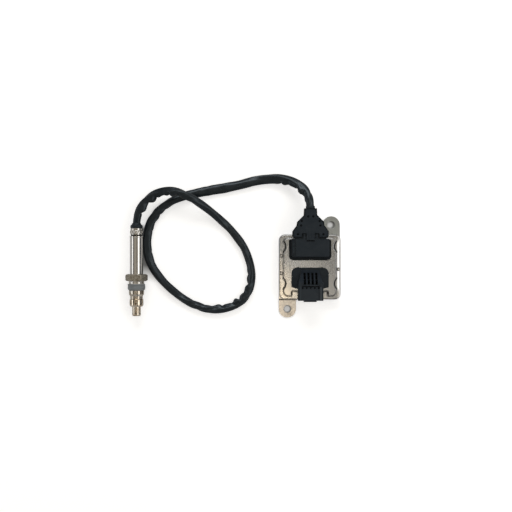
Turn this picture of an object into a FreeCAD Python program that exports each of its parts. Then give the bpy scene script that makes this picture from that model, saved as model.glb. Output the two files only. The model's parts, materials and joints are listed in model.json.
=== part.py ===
"""Nitrogen oxide sensor: a control unit, a soft lead and a screw-in probe, lying flat on a table.

Millimetres. The origin is the centre of the control unit's two bolt holes on its mounting face.
+Y runs towards the plug of the lead, +Z out of the front cover.
"""
import FreeCAD
import Part
import math
import os

V = FreeCAD.Vector

# Fits
slip_gap = 0.05
seat_gap = 0.1
loose_gap = 0.3

# Control unit: housing
case_width = 69.0
case_length = 72.8
case_corner_radius = 6.5
base_thickness = 2.0
ear_radius = 9.75
ear_reach = 11.1
bolt_hole_radius = 4.3
ear_root_radius = 3.0
tray_wall = 2.6
tray_wall_top = 10.4
post_radius = 3.2
post_inset = 4.0
lug_radius = 1.0
lug_height = 1.7
left_lug_places = (-7.0, 12.5)
right_lug_places = (-2.5,)

# Control unit: pressed cover and its seal
sheet = 1.2
skirt_bottom = 3.2
rim_top = 12.0
skirt_edge_radius = 1.6
plateau_width = 58.4
plateau_length = 64.2
plateau_top = 15.0
plateau_corner_radius = 5.0
plateau_edge = 1.2
plateau_root = 0.8
scallop_radius = 8.2
scallop_centre_x = 35.0
scallop_places = (-18.5, 23.0)
notch_width = 41.0
notch_depth = 5.3
notch_corner_radius = 1.5

# Control unit: board
board_bottom = 5.0
board_thickness = 1.6
board_margin = 1.0
board_corner_radius = 3.0
screw_shank_radius = 1.25
screw_head_radius = 2.3
screw_head_height = 1.6
screw_reach = 4.5
processor_size = 11.0
driver_length = 10.0
driver_width = 6.5
chip_height = 1.5
transistor_size = 5.0
transistor_height = 2.2
transistor_pitch = 7.0
capacitor_radius = 3.2
capacitor_height = 5.4
capacitor_pitch = 7.4
board_middle_y = 3.4
chip_inset = 13.5
transistor_inset = 5.4

# Headers: what both have in common
gasket_thickness = 0.6
gasket_edge = 1.0
flange_thickness = 2.4
window_margin = 4.0
header_foot_bottom = 9.4
pin_width = 0.8
pin_slot_gap = 0.1
pin_end_below_board = 1.2

# Sensor header, which takes the plug of the lead
sensor_flange_width = 47.0
sensor_flange_bottom_y = 7.5
sensor_flange_side_y = 29.6
sensor_flange_top_y = 31.2
sensor_flange_corner_radius = 5.0
sensor_block_width = 41.2
sensor_block_bottom_y = 11.2
sensor_block_mouth_y = 31.0
sensor_block_top = 28.0
sensor_cavity_width = 36.0
sensor_cavity_bottom = 17.3
sensor_cavity_top = 26.5
sensor_cavity_floor_y = 17.4
sensor_pin_pitch = 8.0
sensor_pin_rows = (19.7, 24.1)
sensor_pin_drops = (15.6, 13.6)
sensor_pin_reach = 6.5
guide_post_inner_x = 5.6
guide_post_width = 2.3
guide_post_end_y = 36.5
guide_post_depth = 1.8
key_channel_width = 4.4
key_channel_depth = 0.8
key_rib_width = 2.0
key_rib_length = 7.0

# Vehicle header, which takes the plug of the vehicle's harness
vehicle_flange_width = 41.4
vehicle_flange_top_y = -0.7
vehicle_flange_side_y = -22.4
vehicle_flange_bottom_y = -24.3
vehicle_flange_corner_radius = 6.2
shroud_width = 27.8
shroud_back_y = -17.0
shroud_mouth_y = -36.9
shroud_bottom = 16.5
shroud_top = 31.0
shroud_wall = 1.8
shroud_lip_width = 14.5
shroud_lip_length = 2.0
shroud_rail_width = 3.3
shroud_rail_height = 0.9
shroud_rail_edge = 0.7
socket_floor_y = -21.6
ramp_start_y = -3.2
ramp_start_half_width = 9.5
comb_slot_width = 2.4
comb_slot_top_y = -6.3
comb_slot_bottom_y = -19.2
comb_slot_floor = 19.2
comb_bar_places = (-10.1, -14.4)
comb_bar_thickness = 1.1
comb_bar_below_ramp = 1.5
comb_groove_y = -21.3
comb_groove_width = 0.9
comb_groove_depth = 0.7
tooth_pit_radius = 0.8
tooth_pit_y = -23.0
vehicle_pin_pitch = 4.3
vehicle_pin_count = 5
vehicle_pin_height = 23.7
vehicle_pin_drop_y = -12.2
vehicle_pin_inset = 6.0
flange_pip_radius = 0.7
flange_pip_x = 13.3

# Plug of the lead
plug_axis_height = 22.5
plug_side_gap = 0.6
plug_body_end_y = 36.2
plug_front_wall = 1.3
plug_seal_start_y = 22.5
plug_seal_length = 3.0
plug_seal_groove = 0.9
plug_terminal_width = 1.9
plug_terminal_length = 13.0
cover_outline = ((18.5, 32.3), (20.1, 34.5), (19.8, 39.9), (15.3, 45.9), (14.7, 50.0), (7.3, 57.4),
                 (6.9, 64.8))
cover_half_height = 6.8
cover_wall = 1.5
cover_step_width = 1.2
cover_step_height = 0.8
cover_cavity_end_y = 57.0
tongue_half_width = 4.7
tongue_end_y = 29.5
tongue_thickness = 1.1
tongue_slot_outer_x = 9.6
tongue_slot_end_y = 37.2
cover_pit_radius = 0.65
cover_pit_depth = 1.0
cover_pits = ((2.75, 55.8), (9.8, 50.9), (10.6, 45.9), (14.0, 36.2))
plug_collar_radius = 5.1
plug_collar_length = 3.0
plug_collar_edge = 0.5

# Lead
cable_radius = 4.1
lead_radius = 0.5
lead_pitch = 1.25
lead_row_height = 1.2
leads_per_row = 4
cable_plug_end_y = 58.5

# Probe: its axis lies along Y, and stations count from the tip
probe_x = -194.0
probe_height = 11.0
probe_tip_y = -54.9
tip_radius = 4.75
tip_round = 1.2
tip_wall = 0.6
tip_hole_radius = 1.3
tip_side_hole_radius = 0.8
tip_side_hole_station = 3.0
tip_side_hole_count = 6
shield_start = 10.6
shield_end = 18.6
shield_radius = 7.65
shield_nose_radius = 6.4
shield_nose_length = 1.6
shield_wall = 0.7
shield_hole_radius = 0.9
shield_hole_station = 14.2
shield_hole_count = 8
neck_radius = 7.0
cone_start = 22.5
cone_radius = 8.4
collar_start = 24.6
nut_start = 28.7
nut_thread_end = 36.1
nut_relief_end = 39.2
nut_end = 46.8
thread_radius = 10.0
thread_chamfer = 1.7
relief_radius = 8.6
hexagon_across_flats = 22.0
hexagon_chamfer = 0.9
nut_running_gap = 0.08
body_end = 52.0
tube_start = 41.0
tube_end = 89.5
tube_radius = 7.3
tube_wall = 0.85
tube_lip_radius = 7.65
tube_lip_length = 1.5
body_bore_radius = 4.6
body_shoulder_station = 22.0
sleeve_start = 82.0
sleeve_groove_end = 90.9
sleeve_end = 98.3
sleeve_radius = 6.65
sleeve_bead_radius = 7.3
sleeve_bead_station = 94.0
sleeve_bead_half_width = 1.5
sleeve_wall = 0.6
boot_radius = 6.8
boot_step = 101.4
boot_end = 103.8
boot_end_radius = 4.7
grommet_start = 85.0
grommet_end = 95.5
cable_probe_station = 96.0

# Probe: sensing element and what holds it
element_width = 4.2
element_thickness = 1.3
element_start = 12.5
element_end = 63.0
front_ceramic_end = 29.0
talc_end = 38.0
rear_ceramic_end = 47.0
retaining_ring_end = 49.5
carrier_start = 54.0
carrier_end = 66.5
spring_width = 0.6
spring_thickness = 0.25
spring_end = 67.5

# Sizes that follow from the ones above
bolt_spacing_x = case_width - 2 * ear_radius
bolt_spacing_y = case_length + 2 * ear_reach
board_top = board_bottom + board_thickness
cover_underside = rim_top - sheet
flange_bottom = plateau_top + gasket_thickness
flange_top = flange_bottom + flange_thickness
tray_gap = 0.15
tray_half_width = case_width / 2 - sheet - tray_gap
tray_half_length = case_length / 2 - sheet - tray_gap
tray_corner_radius = case_corner_radius - sheet - tray_gap
lug_x = tray_half_width - tray_wall / 2
inner_half_width = tray_half_width - tray_wall
inner_half_length = tray_half_length - tray_wall
post_x = inner_half_width - post_inset
post_y = inner_half_length - post_inset
chip_x = inner_half_width - chip_inset
transistor_y = -inner_half_length + transistor_inset
hexagon_circle_radius = hexagon_across_flats / 2 / math.cos(math.pi / 6)
body_spigot_radius = tube_radius - tube_wall - slip_gap
sleeve_spigot_radius = tube_radius - tube_wall - slip_gap
sleeve_bore_radius = sleeve_spigot_radius - sleeve_wall
plug_half_width = sensor_cavity_width / 2 - plug_side_gap
plug_body_bottom = sensor_cavity_bottom + plug_side_gap
plug_body_top = sensor_cavity_top - plug_side_gap
plug_front_y = sensor_cavity_floor_y + seat_gap
terminal_start_y = plug_front_y + plug_front_wall

# The lead's route from the probe to the plug, chosen by hand
cable_points = (
    (probe_x, probe_tip_y + cable_probe_station, probe_height),
    (-194.0, 55.3, 11.0),
    (-188.4, 68.9, 11.0),
    (-178.0, 79.3, 11.5),
    (-164.4, 84.9, 14.0),
    (-149.2, 84.8, 20.3),
    (-131.5, 76.6, 20.3),
    (-114.0, 65.2, 11.0),
    (-92.5, 46.3, 4.2),
    (-75.5, 26.0, 4.2),
    (-66.5, 5.0, 4.2),
    (-64.2, -15.0, 4.2),
    (-70.5, -33.5, 4.2),
    (-85.5, -45.2, 4.2),
    (-105.3, -49.4, 4.2),
    (-126.7, -44.7, 4.2),
    (-148.2, -32.6, 4.2),
    (-167.3, -13.6, 4.2),
    (-180.3, 7.2, 4.2),
    (-184.0, 29.2, 4.2),
    (-179.5, 51.8, 4.2),
    (-165.1, 69.3, 4.2),
    (-142.5, 80.0, 4.2),
    (-112.1, 86.7, 4.2),
    (-82.0, 91.6, 4.2),
    (-57.0, 98.4, 4.2),
    (-36.0, 101.0, 6.5),
    (-18.5, 96.0, 11.0),
    (-4.8, 86.2, 16.5),
    (0.0, 72.5, plug_axis_height),
    (0.0, cable_plug_end_y, plug_axis_height),
)


def block(x0, x1, y0, y1, z0, z1):
    """A plain box between two corners."""
    return Part.makeBox(x1 - x0, y1 - y0, z1 - z0, V(x0, y0, z0))


def upright_edges(shape):
    """The edges that stand along Z."""
    return [e for e in shape.Edges if len(e.Vertexes) == 2 and abs(e.tangentAt(e.FirstParameter).z) > 0.999]


def rounded_block(half_width, half_length, z0, z1, radius):
    """A box centred on the origin with round upright edges."""
    body = block(-half_width, half_width, -half_length, half_length, z0, z1)
    return body.makeFillet(radius, upright_edges(body))


def edges_at_height(shape, z):
    """The edges that lie whole at one height."""
    return [e for e in shape.Edges if abs(e.BoundBox.ZMin - z) < 1e-4 and abs(e.BoundBox.ZMax - z) < 1e-4]


def edges_near(shape, places):
    """The upright edges that stand at the given (x, y) places."""
    found = []
    for edge in upright_edges(shape):
        here = edge.Vertexes[0].Point
        if any(math.hypot(here.x - x, here.y - y) < 0.01 for x, y in places):
            found.append(edge)
    return found


def prism(points, z0, z1):
    """A polygon in plan, raised from z0 to z1."""
    corners = [V(x, y, z0) for x, y in points]
    return Part.Face(Part.makePolygon(corners + corners[:1])).extrude(V(0, 0, z1 - z0))


def side_prism(points, x0, x1):
    """A polygon of (y, z) points, carried from x0 to x1."""
    corners = [V(x0, y, z) for y, z in points]
    return Part.Face(Part.makePolygon(corners + corners[:1])).extrude(V(x1 - x0, 0, 0))


def post(x, y, z0, z1, radius):
    """An upright cylinder."""
    return Part.makeCylinder(radius, z1 - z0, V(x, y, z0))


def turned(profile):
    """A turned piece of the probe: a closed outline of (station, radius) points about its axis."""
    corners = [V(radius, station, 0) for station, radius in profile]
    face = Part.Face(Part.makePolygon(corners + corners[:1]))
    piece = face.revolve(V(0, 0, 0), V(0, 1, 0), 360)
    return on_probe(piece)


def on_probe(shape):
    """Carries a shape made about the Y axis from station 0 to its place on the probe."""
    shape.translate(V(probe_x, probe_tip_y, probe_height))
    return shape


def fused(shapes):
    """One solid out of shapes that meet."""
    return shapes[0].multiFuse(shapes[1:]).removeSplitter()


# Control unit

def base_housing():
    """Cast tray: floor with two ears, an inner wall under the cover's rim, board posts and staking lugs."""
    half_width = case_width / 2
    half_length = case_length / 2
    pieces = [rounded_block(half_width, half_length, 0, base_thickness, case_corner_radius)]
    roots = []
    for sign in (-1, 1):
        hole_x = sign * bolt_spacing_x / 2
        hole_y = sign * bolt_spacing_y / 2
        foot_y = sign * (half_length - case_corner_radius - 1)
        sides = sorted((hole_x - ear_radius, hole_x + ear_radius))
        reach = sorted((foot_y, hole_y))
        pieces.append(block(sides[0], sides[1], reach[0], reach[1], 0, base_thickness))
        pieces.append(post(hole_x, hole_y, 0, base_thickness, ear_radius))
        roots.append((hole_x - sign * ear_radius, sign * half_length))
    plate = fused(pieces)
    plate = plate.makeFillet(ear_root_radius, edges_near(plate, roots))
    wall = rounded_block(tray_half_width, tray_half_length, base_thickness, tray_wall_top, tray_corner_radius)
    hollow = rounded_block(inner_half_width, inner_half_length, base_thickness, tray_wall_top,
                           tray_corner_radius - tray_wall)
    posts = [post(x, y, base_thickness, board_bottom, post_radius) for x, y in board_fixings()]
    lugs = [post(x, y, tray_wall_top, rim_top + lug_height - sheet, lug_radius) for x, y in lug_places()]
    body = fused([plate, wall.cut(hollow)] + posts + lugs)
    drills = [post(x, y, board_top - screw_reach, board_bottom, screw_shank_radius + slip_gap)
              for x, y in board_fixings()]
    for sign in (-1, 1):
        drills.append(post(sign * bolt_spacing_x / 2, sign * bolt_spacing_y / 2, 0, base_thickness,
                           bolt_hole_radius))
    return body.cut(drills)


def board_fixings():
    """Where the four board screws stand."""
    return [(sx * post_x, sy * post_y) for sx in (-1, 1) for sy in (-1, 1)]


def lug_places():
    """Where the staking lugs come up through the cover's rim."""
    left = [(-lug_x, y) for y in left_lug_places]
    return left + [(lug_x, y) for y in right_lug_places]


def plateau(inset, z0, z1):
    """The raised middle of the cover, drawn in by inset, with its four scallops and its notch."""
    half_width = plateau_width / 2
    half_length = plateau_length / 2
    body = rounded_block(half_width - inset, half_length - inset, z0, z1, plateau_corner_radius - inset)
    for side in (-1, 1):
        for y in scallop_places:
            body = body.cut(post(side * scallop_centre_x, y, z0, z1, scallop_radius + inset))
    notch_top = -half_length + notch_depth + inset
    half_notch = notch_width / 2 + inset
    body = body.cut(block(-half_notch, half_notch, -half_length - 1, notch_top, z0, z1))
    corners = [(-half_notch, notch_top), (half_notch, notch_top)]
    return body.makeFillet(notch_corner_radius, edges_near(body, corners))


def front_cover():
    """Pressed lid: skirt, flat rim, raised plateau with two connector windows."""
    skirt = rounded_block(case_width / 2, case_length / 2, skirt_bottom, rim_top, case_corner_radius)
    skirt = skirt.makeFillet(skirt_edge_radius, edges_at_height(skirt, rim_top))
    raised = plateau(0, skirt_bottom, plateau_top)
    raised = raised.makeChamfer(plateau_edge, edges_at_height(raised, plateau_top))
    root = plateau(-plateau_root, skirt_bottom, rim_top + plateau_root)
    root = root.makeChamfer(plateau_root, edges_at_height(root, rim_top + plateau_root))
    inside = rounded_block(case_width / 2 - sheet, case_length / 2 - sheet, skirt_bottom, cover_underside,
                           case_corner_radius - sheet)
    inside_raised = plateau(sheet, skirt_bottom, plateau_top - sheet)
    body = fused([skirt, root, raised])
    body = body.cut(inside).cut(inside_raised)
    lug_holes = [post(x, y, skirt_bottom, plateau_top, lug_radius + seat_gap) for x, y in lug_places()]
    return body.cut([sensor_window(loose_gap), vehicle_window(loose_gap)] + lug_holes)


def sensor_window(gap):
    """What fills the sensor header's window, larger by gap."""
    half = sensor_flange_width / 2 - window_margin + gap
    low = sensor_flange_bottom_y + window_margin - gap
    high = sensor_flange_side_y - window_margin + gap
    return block(-half, half, low, high, header_foot_bottom, flange_bottom)


def vehicle_window(gap):
    """What fills the vehicle header's window, larger by gap."""
    half = vehicle_flange_width / 2 - window_margin + gap
    low = vehicle_flange_side_y + window_margin - gap
    high = vehicle_flange_top_y - window_margin + gap
    return block(-half, half, low, high, header_foot_bottom, flange_bottom)


def cover_gasket():
    """Flat seal between the tray's wall and the rim."""
    outer = rounded_block(tray_half_width, tray_half_length, tray_wall_top, cover_underside,
                          tray_corner_radius)
    inner = rounded_block(inner_half_width, inner_half_length, tray_wall_top, cover_underside,
                          tray_corner_radius - tray_wall)
    holes = [post(x, y, tray_wall_top, cover_underside, lug_radius + seat_gap) for x, y in lug_places()]
    return outer.cut([inner] + holes)


def circuit_board():
    """Board on the four posts, drilled for its screws and for every header pin."""
    board = rounded_block(inner_half_width - board_margin, inner_half_length - board_margin,
                          board_bottom, board_top, board_corner_radius)
    drills = [post(x, y, board_bottom, board_top, screw_shank_radius + slip_gap) for x, y in board_fixings()]
    drill_radius = pin_width * 0.5 * math.sqrt(2) + seat_gap
    feet = sensor_pin_feet() + vehicle_pin_feet()
    drills += [post(x, y, board_bottom, board_top, drill_radius) for x, y in feet]
    return board.cut(drills)


def board_screws():
    """Four pan-head screws."""
    screws = []
    for x, y in board_fixings():
        shank = post(x, y, board_top - screw_reach, board_top, screw_shank_radius)
        head = post(x, y, board_top, board_top + screw_head_height, screw_head_radius)
        head = head.makeChamfer(screw_head_height / 3, edges_at_height(head, board_top + screw_head_height))
        drive = post(x, y, board_top + screw_head_height / 2, board_top + screw_head_height,
                     screw_head_radius / 2)
        screws.append(head.fuse(shank).removeSplitter().cut(drive))
    return Part.makeCompound(screws)


def chip(x, y, width, length, height):
    """A moulded chip on the board."""
    body = block(x - width / 2, x + width / 2, y - length / 2, y + length / 2, board_top, board_top + height)
    return body.makeChamfer(height / 5, edges_at_height(body, board_top + height))


def processor_chip():
    """Processor, between the two headers."""
    return chip(-chip_x, board_middle_y, processor_size, processor_size, chip_height)


def sensor_driver_chip():
    """Chip that drives the sensor's pumps and heater."""
    return chip(chip_x, board_middle_y, driver_length, driver_width, chip_height)


def power_transistors():
    """Three heater transistors in a row."""
    return Part.makeCompound([chip(i * transistor_pitch, transistor_y, transistor_size, transistor_size,
                                   transistor_height) for i in (-1, 0, 1)])


def smoothing_capacitors():
    """Two upright capacitors, one behind the other between the two chips."""
    cans = []
    for y in (board_middle_y - capacitor_pitch / 2, board_middle_y + capacitor_pitch / 2):
        can = post(0, y, board_top, board_top + capacitor_height, capacitor_radius)
        cans.append(can.makeChamfer(capacitor_radius / 6, edges_at_height(can, board_top + capacitor_height)))
    return Part.makeCompound(cans)


# Headers

def sensor_flange_outline(inset):
    """Plan of the sensor header's flange: round corners away from the mouth, sloped ones beside it."""
    half = sensor_flange_width / 2 - inset
    low = sensor_flange_bottom_y + inset
    side = sensor_flange_side_y - inset
    high = sensor_flange_top_y - inset
    slope = sensor_block_width / 2 - inset
    return ((-half, low), (half, low), (half, side), (slope, high), (-slope, high), (-half, side))


def sensor_flange(inset, z0, z1):
    """The sensor header's flange or its gasket."""
    outline = sensor_flange_outline(inset)
    body = prism(outline, z0, z1)
    return body.makeFillet(sensor_flange_corner_radius - inset, edges_near(body, outline[:2]))


def sensor_pin_x():
    """Where the sensor header's four columns of pins stand."""
    return [(i - 1.5) * sensor_pin_pitch for i in range(leads_per_row)]


def sensor_pin_feet():
    """Where the sensor header's pins go into the board."""
    return [(x, y) for x in sensor_pin_x() for y in sensor_pin_drops]


def bent_pin(x, drop_y, tip_y, height, width):
    """A square pin: along Y from its tip, then down to just below the board."""
    half = width / 2
    far = drop_y + half if drop_y > tip_y else drop_y - half
    low, high = sorted((tip_y, far))
    level = block(x - half, x + half, low, high, height - half, height + half)
    foot = block(x - half, x + half, drop_y - half, drop_y + half, board_bottom - pin_end_below_board, height)
    return level.fuse(foot).removeSplitter()


def sensor_pin_list(width):
    """The eight pins of the sensor header."""
    tip_y = sensor_cavity_floor_y + sensor_pin_reach
    pins = []
    for x in sensor_pin_x():
        for height, drop_y in zip(sensor_pin_rows, sensor_pin_drops):
            pins.append(bent_pin(x, drop_y, tip_y, height, width))
    return pins


def sensor_header():
    """Moulding that takes the lead's plug: flange, hooded socket, guide posts, keying channel."""
    half = sensor_block_width / 2
    flange = sensor_flange(0, flange_bottom, flange_top)
    hood = block(-half, half, sensor_block_bottom_y, sensor_block_mouth_y, flange_bottom, sensor_block_top)
    corners = [(-half, sensor_block_bottom_y), (half, sensor_block_bottom_y)]
    hood = hood.makeFillet(sensor_flange_corner_radius / 2, edges_near(hood, corners))
    hood = hood.makeFillet(0.8, [e for e in edges_at_height(hood, sensor_block_top)
                                 if e.BoundBox.YMin < sensor_block_mouth_y - 1e-4])
    foot = sensor_window(0)
    body = fused([flange, hood, foot])
    half_cavity = sensor_cavity_width / 2
    body = body.cut(block(-half_cavity, half_cavity, sensor_cavity_floor_y, sensor_flange_top_y,
                          sensor_cavity_bottom, sensor_cavity_top))
    rib_end = sensor_block_bottom_y + 4.3
    channel = block(-half - 1, -half + key_channel_width, rib_end - 3.0, sensor_block_mouth_y,
                    sensor_block_top - key_channel_depth, sensor_block_top)
    rib = block(-half + 1.0, -half + 1.0 + key_rib_width, rib_end, rib_end + key_rib_length,
                sensor_block_top - key_channel_depth, sensor_block_top)
    button = post(-half + 1.0 + key_rib_width / 2, rib_end + key_rib_length + 3.2,
                  sensor_block_top - key_channel_depth, sensor_block_top - key_channel_depth / 3, 1.3)
    body = body.cut(channel)
    posts = []
    for side in (-1, 1):
        inner, outer = sorted((side * guide_post_inner_x, side * (guide_post_inner_x + guide_post_width)))
        posts.append(block(inner, outer, sensor_block_mouth_y - 1, guide_post_end_y,
                           sensor_block_top - guide_post_depth, sensor_block_top))
    body = fused([body, rib, button] + posts)
    return body.cut(sensor_pin_list(pin_width + pin_slot_gap))


def sensor_header_gasket():
    """Flat seal under the sensor header's flange."""
    return sensor_flange(gasket_edge, plateau_top, flange_bottom).cut(sensor_window(loose_gap))


def sensor_header_pins():
    """Eight pins from the board to the plug."""
    return Part.makeCompound(sensor_pin_list(pin_width))


def vehicle_flange_outline(inset):
    """Plan of the vehicle header's flange, a little pointed at its lower edge."""
    half = vehicle_flange_width / 2 - inset
    high = vehicle_flange_top_y - inset
    side = vehicle_flange_side_y + inset
    low = vehicle_flange_bottom_y + inset
    slope = shroud_width / 2 - inset
    return ((half, high), (-half, high), (-half, side), (-slope, low), (slope, low), (half, side))


def vehicle_flange(inset, z0, z1):
    """The vehicle header's flange or its gasket."""
    outline = vehicle_flange_outline(inset)
    body = prism(outline, z0, z1)
    return body.makeFillet(vehicle_flange_corner_radius - inset, edges_near(body, outline[:2]))


def vehicle_pin_x():
    """Where the vehicle header's pins stand."""
    return [(i - (vehicle_pin_count - 1) / 2) * vehicle_pin_pitch for i in range(vehicle_pin_count)]


def vehicle_pin_feet():
    """Where the vehicle header's pins go into the board."""
    return [(x, vehicle_pin_drop_y) for x in vehicle_pin_x()]


def vehicle_pin_list(width):
    """The five pins of the vehicle header."""
    tip_y = shroud_mouth_y + vehicle_pin_inset
    return [bent_pin(x, vehicle_pin_drop_y, tip_y, vehicle_pin_height, width) for x in vehicle_pin_x()]


def ramp_height(y):
    """How high the tower's sloped face stands at y."""
    share = (ramp_start_y - y) / (ramp_start_y - shroud_back_y)
    return flange_top + share * (shroud_top - flange_top)


def pin_tower():
    """The sloped tower behind the shroud, with the comb that shows the pins' bends."""
    half = shroud_width / 2 - shroud_rail_edge
    plan = ((-ramp_start_half_width, ramp_start_y), (ramp_start_half_width, ramp_start_y),
            (half, shroud_back_y), (half, shroud_back_y - 1),
            (-half, shroud_back_y - 1), (-half, shroud_back_y))
    slope = ((ramp_start_y, flange_bottom), (ramp_start_y, flange_top), (shroud_back_y, shroud_top),
             (shroud_back_y - 1, shroud_top), (shroud_back_y - 1, flange_bottom))
    return prism(plan, flange_bottom, shroud_top).common(side_prism(slope, -half, half))


def comb_cuts():
    """Four slots between the pins, with two sunk bars across each, a groove and a row of pits."""
    cuts = []
    bars = []
    xs = vehicle_pin_x()
    for left, right in zip(xs, xs[1:]):
        middle = (left + right) / 2
        low, high = middle - comb_slot_width / 2, middle + comb_slot_width / 2
        slot = block(low, high, comb_slot_bottom_y, comb_slot_top_y, comb_slot_floor, shroud_top + 1)
        for y in comb_bar_places:
            bars.append(block(low, high, y - comb_bar_thickness / 2, y + comb_bar_thickness / 2,
                              comb_slot_floor, ramp_height(y) - comb_bar_below_ramp))
        cuts.append(slot.cut(bars))
    groove_half = comb_groove_width / 2
    cuts.append(block(xs[0] - 1, xs[-1] + 1, comb_groove_y - groove_half, comb_groove_y + groove_half,
                      shroud_top - comb_groove_depth, shroud_top))
    cuts += [post(x, tooth_pit_y, shroud_top - comb_groove_depth, shroud_top, tooth_pit_radius) for x in xs]
    return cuts


def vehicle_header():
    """Moulding that takes the vehicle's plug: flange, pin tower with its comb, hooded socket."""
    half = shroud_width / 2
    flange = vehicle_flange(0, flange_bottom, flange_top)
    pips = [post(side * flange_pip_x, vehicle_flange_top_y, flange_bottom, flange_top, flange_pip_radius)
            for side in (-1, 1)]
    hood = block(-half, half, shroud_mouth_y, shroud_back_y, shroud_bottom, shroud_top)
    long_edges = [e for e in hood.Edges if e.BoundBox.YLength > 1]
    hood = hood.makeFillet(shroud_wall / 2, long_edges)
    lip_half = shroud_lip_width / 2
    lip = block(-lip_half, lip_half, shroud_mouth_y - shroud_lip_length, shroud_mouth_y + 1,
                shroud_bottom, shroud_bottom + shroud_wall)
    rails = []
    for side in (-1, 1):
        outer = side * (half - shroud_rail_edge)
        low, high = sorted((outer, outer - side * shroud_rail_width))
        rails.append(block(low, high, shroud_mouth_y, shroud_back_y + 0.3,
                           shroud_top - shroud_wall / 2, shroud_top + shroud_rail_height))
    body = fused([flange, hood, lip, pin_tower(), vehicle_window(0)] + pips + rails)
    inner = half - shroud_wall
    body = body.cut(block(-inner, inner, shroud_mouth_y - 1, socket_floor_y,
                          shroud_bottom + shroud_wall, shroud_top - shroud_wall))
    return body.cut(comb_cuts() + vehicle_pin_list(pin_width + pin_slot_gap))


def vehicle_header_gasket():
    """Flat seal under the vehicle header's flange."""
    return vehicle_flange(gasket_edge, plateau_top, flange_bottom).cut(vehicle_window(loose_gap))


def vehicle_pins():
    """Five pins from the board to the vehicle's plug."""
    return Part.makeCompound(vehicle_pin_list(pin_width))


# Plug of the lead

def terminal_places():
    """The eight (x, z) places of the plug's terminals."""
    return [(x, z) for x in sensor_pin_x() for z in sensor_pin_rows]


def plug_body():
    """Moulding with two rows of four terminal chambers and a groove for its seal."""
    body = block(-plug_half_width, plug_half_width, plug_front_y, plug_body_end_y,
                 plug_body_bottom, plug_body_top)
    body = body.makeFillet(1.0, [e for e in body.Edges if e.BoundBox.YLength > 1])
    body = body.cut(seal_ring(0, plug_seal_groove))
    cell = plug_terminal_width + 2 * seat_gap
    cells = [block(x - cell / 2, x + cell / 2, terminal_start_y - seat_gap, plug_body_end_y,
                   z - cell / 2, z + cell / 2) for x, z in terminal_places()]
    entry = pin_width + 4 * seat_gap
    entries = [block(x - entry / 2, x + entry / 2, plug_front_y, terminal_start_y,
                     z - entry / 2, z + entry / 2) for x, z in terminal_places()]
    return body.cut(cells + entries)


def seal_ring(proud, depth):
    """The ring round the plug's body, from depth below its face to proud above it."""
    end_y = plug_seal_start_y + plug_seal_length
    outer = block(-plug_half_width - proud, plug_half_width + proud, plug_seal_start_y, end_y,
                  plug_body_bottom - proud, plug_body_top + proud)
    inner = block(-plug_half_width + depth, plug_half_width - depth, plug_seal_start_y, end_y,
                  plug_body_bottom + depth, plug_body_top - depth)
    return outer.cut(inner)


def plug_seal():
    """Rubber ring between the plug's body and the socket."""
    ring = seal_ring(plug_side_gap - slip_gap, plug_seal_groove - slip_gap)
    return ring.makeFillet(0.5, [e for e in ring.Edges
                                 if e.BoundBox.YLength > 1 and abs(e.CenterOfMass.x) > plug_half_width])


def plug_terminals():
    """Eight sockets that grip the header's pins."""
    half = plug_terminal_width / 2
    bore = pin_width / 2 + seat_gap / 2
    pieces = []
    for x, z in terminal_places():
        shell = block(x - half, x + half, terminal_start_y, terminal_start_y + plug_terminal_length,
                      z - half, z + half)
        hole = block(x - bore, x + bore, terminal_start_y, terminal_start_y + sensor_pin_reach,
                     z - bore, z + bore)
        pieces.append(shell.cut(hole))
    return Part.makeCompound(pieces)


def lead_places():
    """The eight (across, up) places of the leads inside the sleeve."""
    across = [(i - 1.5) * lead_pitch for i in range(leads_per_row)]
    return [(x, z) for x in across for z in (-lead_row_height, lead_row_height)]


def rod(start, end, radius):
    """A straight round rod between two points."""
    way = end.sub(start)
    return Part.makeCylinder(radius, way.Length, start, way)


def plug_leads():
    """Eight leads that spread from the sleeve to the plug's terminals."""
    start_y = terminal_start_y + plug_terminal_length + slip_gap
    straight_y = plug_body_end_y + 1.0
    pieces = []
    for (x, z), (near_x, near_z) in zip(terminal_places(), lead_places()):
        knee = V(x, straight_y, z)
        end = V(near_x, cable_plug_end_y - loose_gap, plug_axis_height + near_z)
        straight = rod(V(x, start_y, z), knee, lead_radius)
        slanted = rod(knee, end, lead_radius)
        pieces.append(straight.fuse([slanted, Part.makeSphere(lead_radius, knee)]).removeSplitter())
    return Part.makeCompound(pieces)


def cover_plan(inset, z):
    """Face of the wire cover's plan, drawn in by inset."""
    right = list(cover_outline)
    left = [(-x, y) for x, y in reversed(right)]
    corners = [V(x, y, z) for x, y in right + left]
    face = Part.Face(Part.makePolygon(corners + corners[:1]))
    return face.makeOffset2D(-inset, 2) if inset else face


def wire_cover_half(side):
    """Half a wire cover: side is 1 for the front half, -1 for the rear one."""
    step_z = plug_axis_height + side * (cover_half_height - cover_step_height)
    top_z = plug_axis_height + side * cover_half_height
    shell = cover_plan(0, plug_axis_height).extrude(V(0, 0, step_z - plug_axis_height))
    panel = cover_plan(cover_step_width, step_z).extrude(V(0, 0, top_z - step_z))
    body = shell.fuse(panel)
    roof_z = top_z - side * cover_wall
    hollow = cover_plan(cover_wall, plug_axis_height).extrude(V(0, 0, roof_z - plug_axis_height))
    low_z, high_z = sorted((plug_axis_height, roof_z))
    reach = cover_outline[1][0]
    hollow = hollow.common(block(-reach, reach, cover_outline[0][1], cover_cavity_end_y, low_z, high_z))
    half_mouth = plug_half_width + seat_gap
    mouth = block(-half_mouth, half_mouth, cover_outline[0][1] - 1, plug_body_end_y, low_z, high_z)
    neck_end = cover_outline[-1][1] + 1
    neck = rod(V(0, cover_cavity_end_y - 1, plug_axis_height), V(0, neck_end, plug_axis_height),
               cable_radius + seat_gap)
    return body.cut([hollow, mouth, neck])


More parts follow.
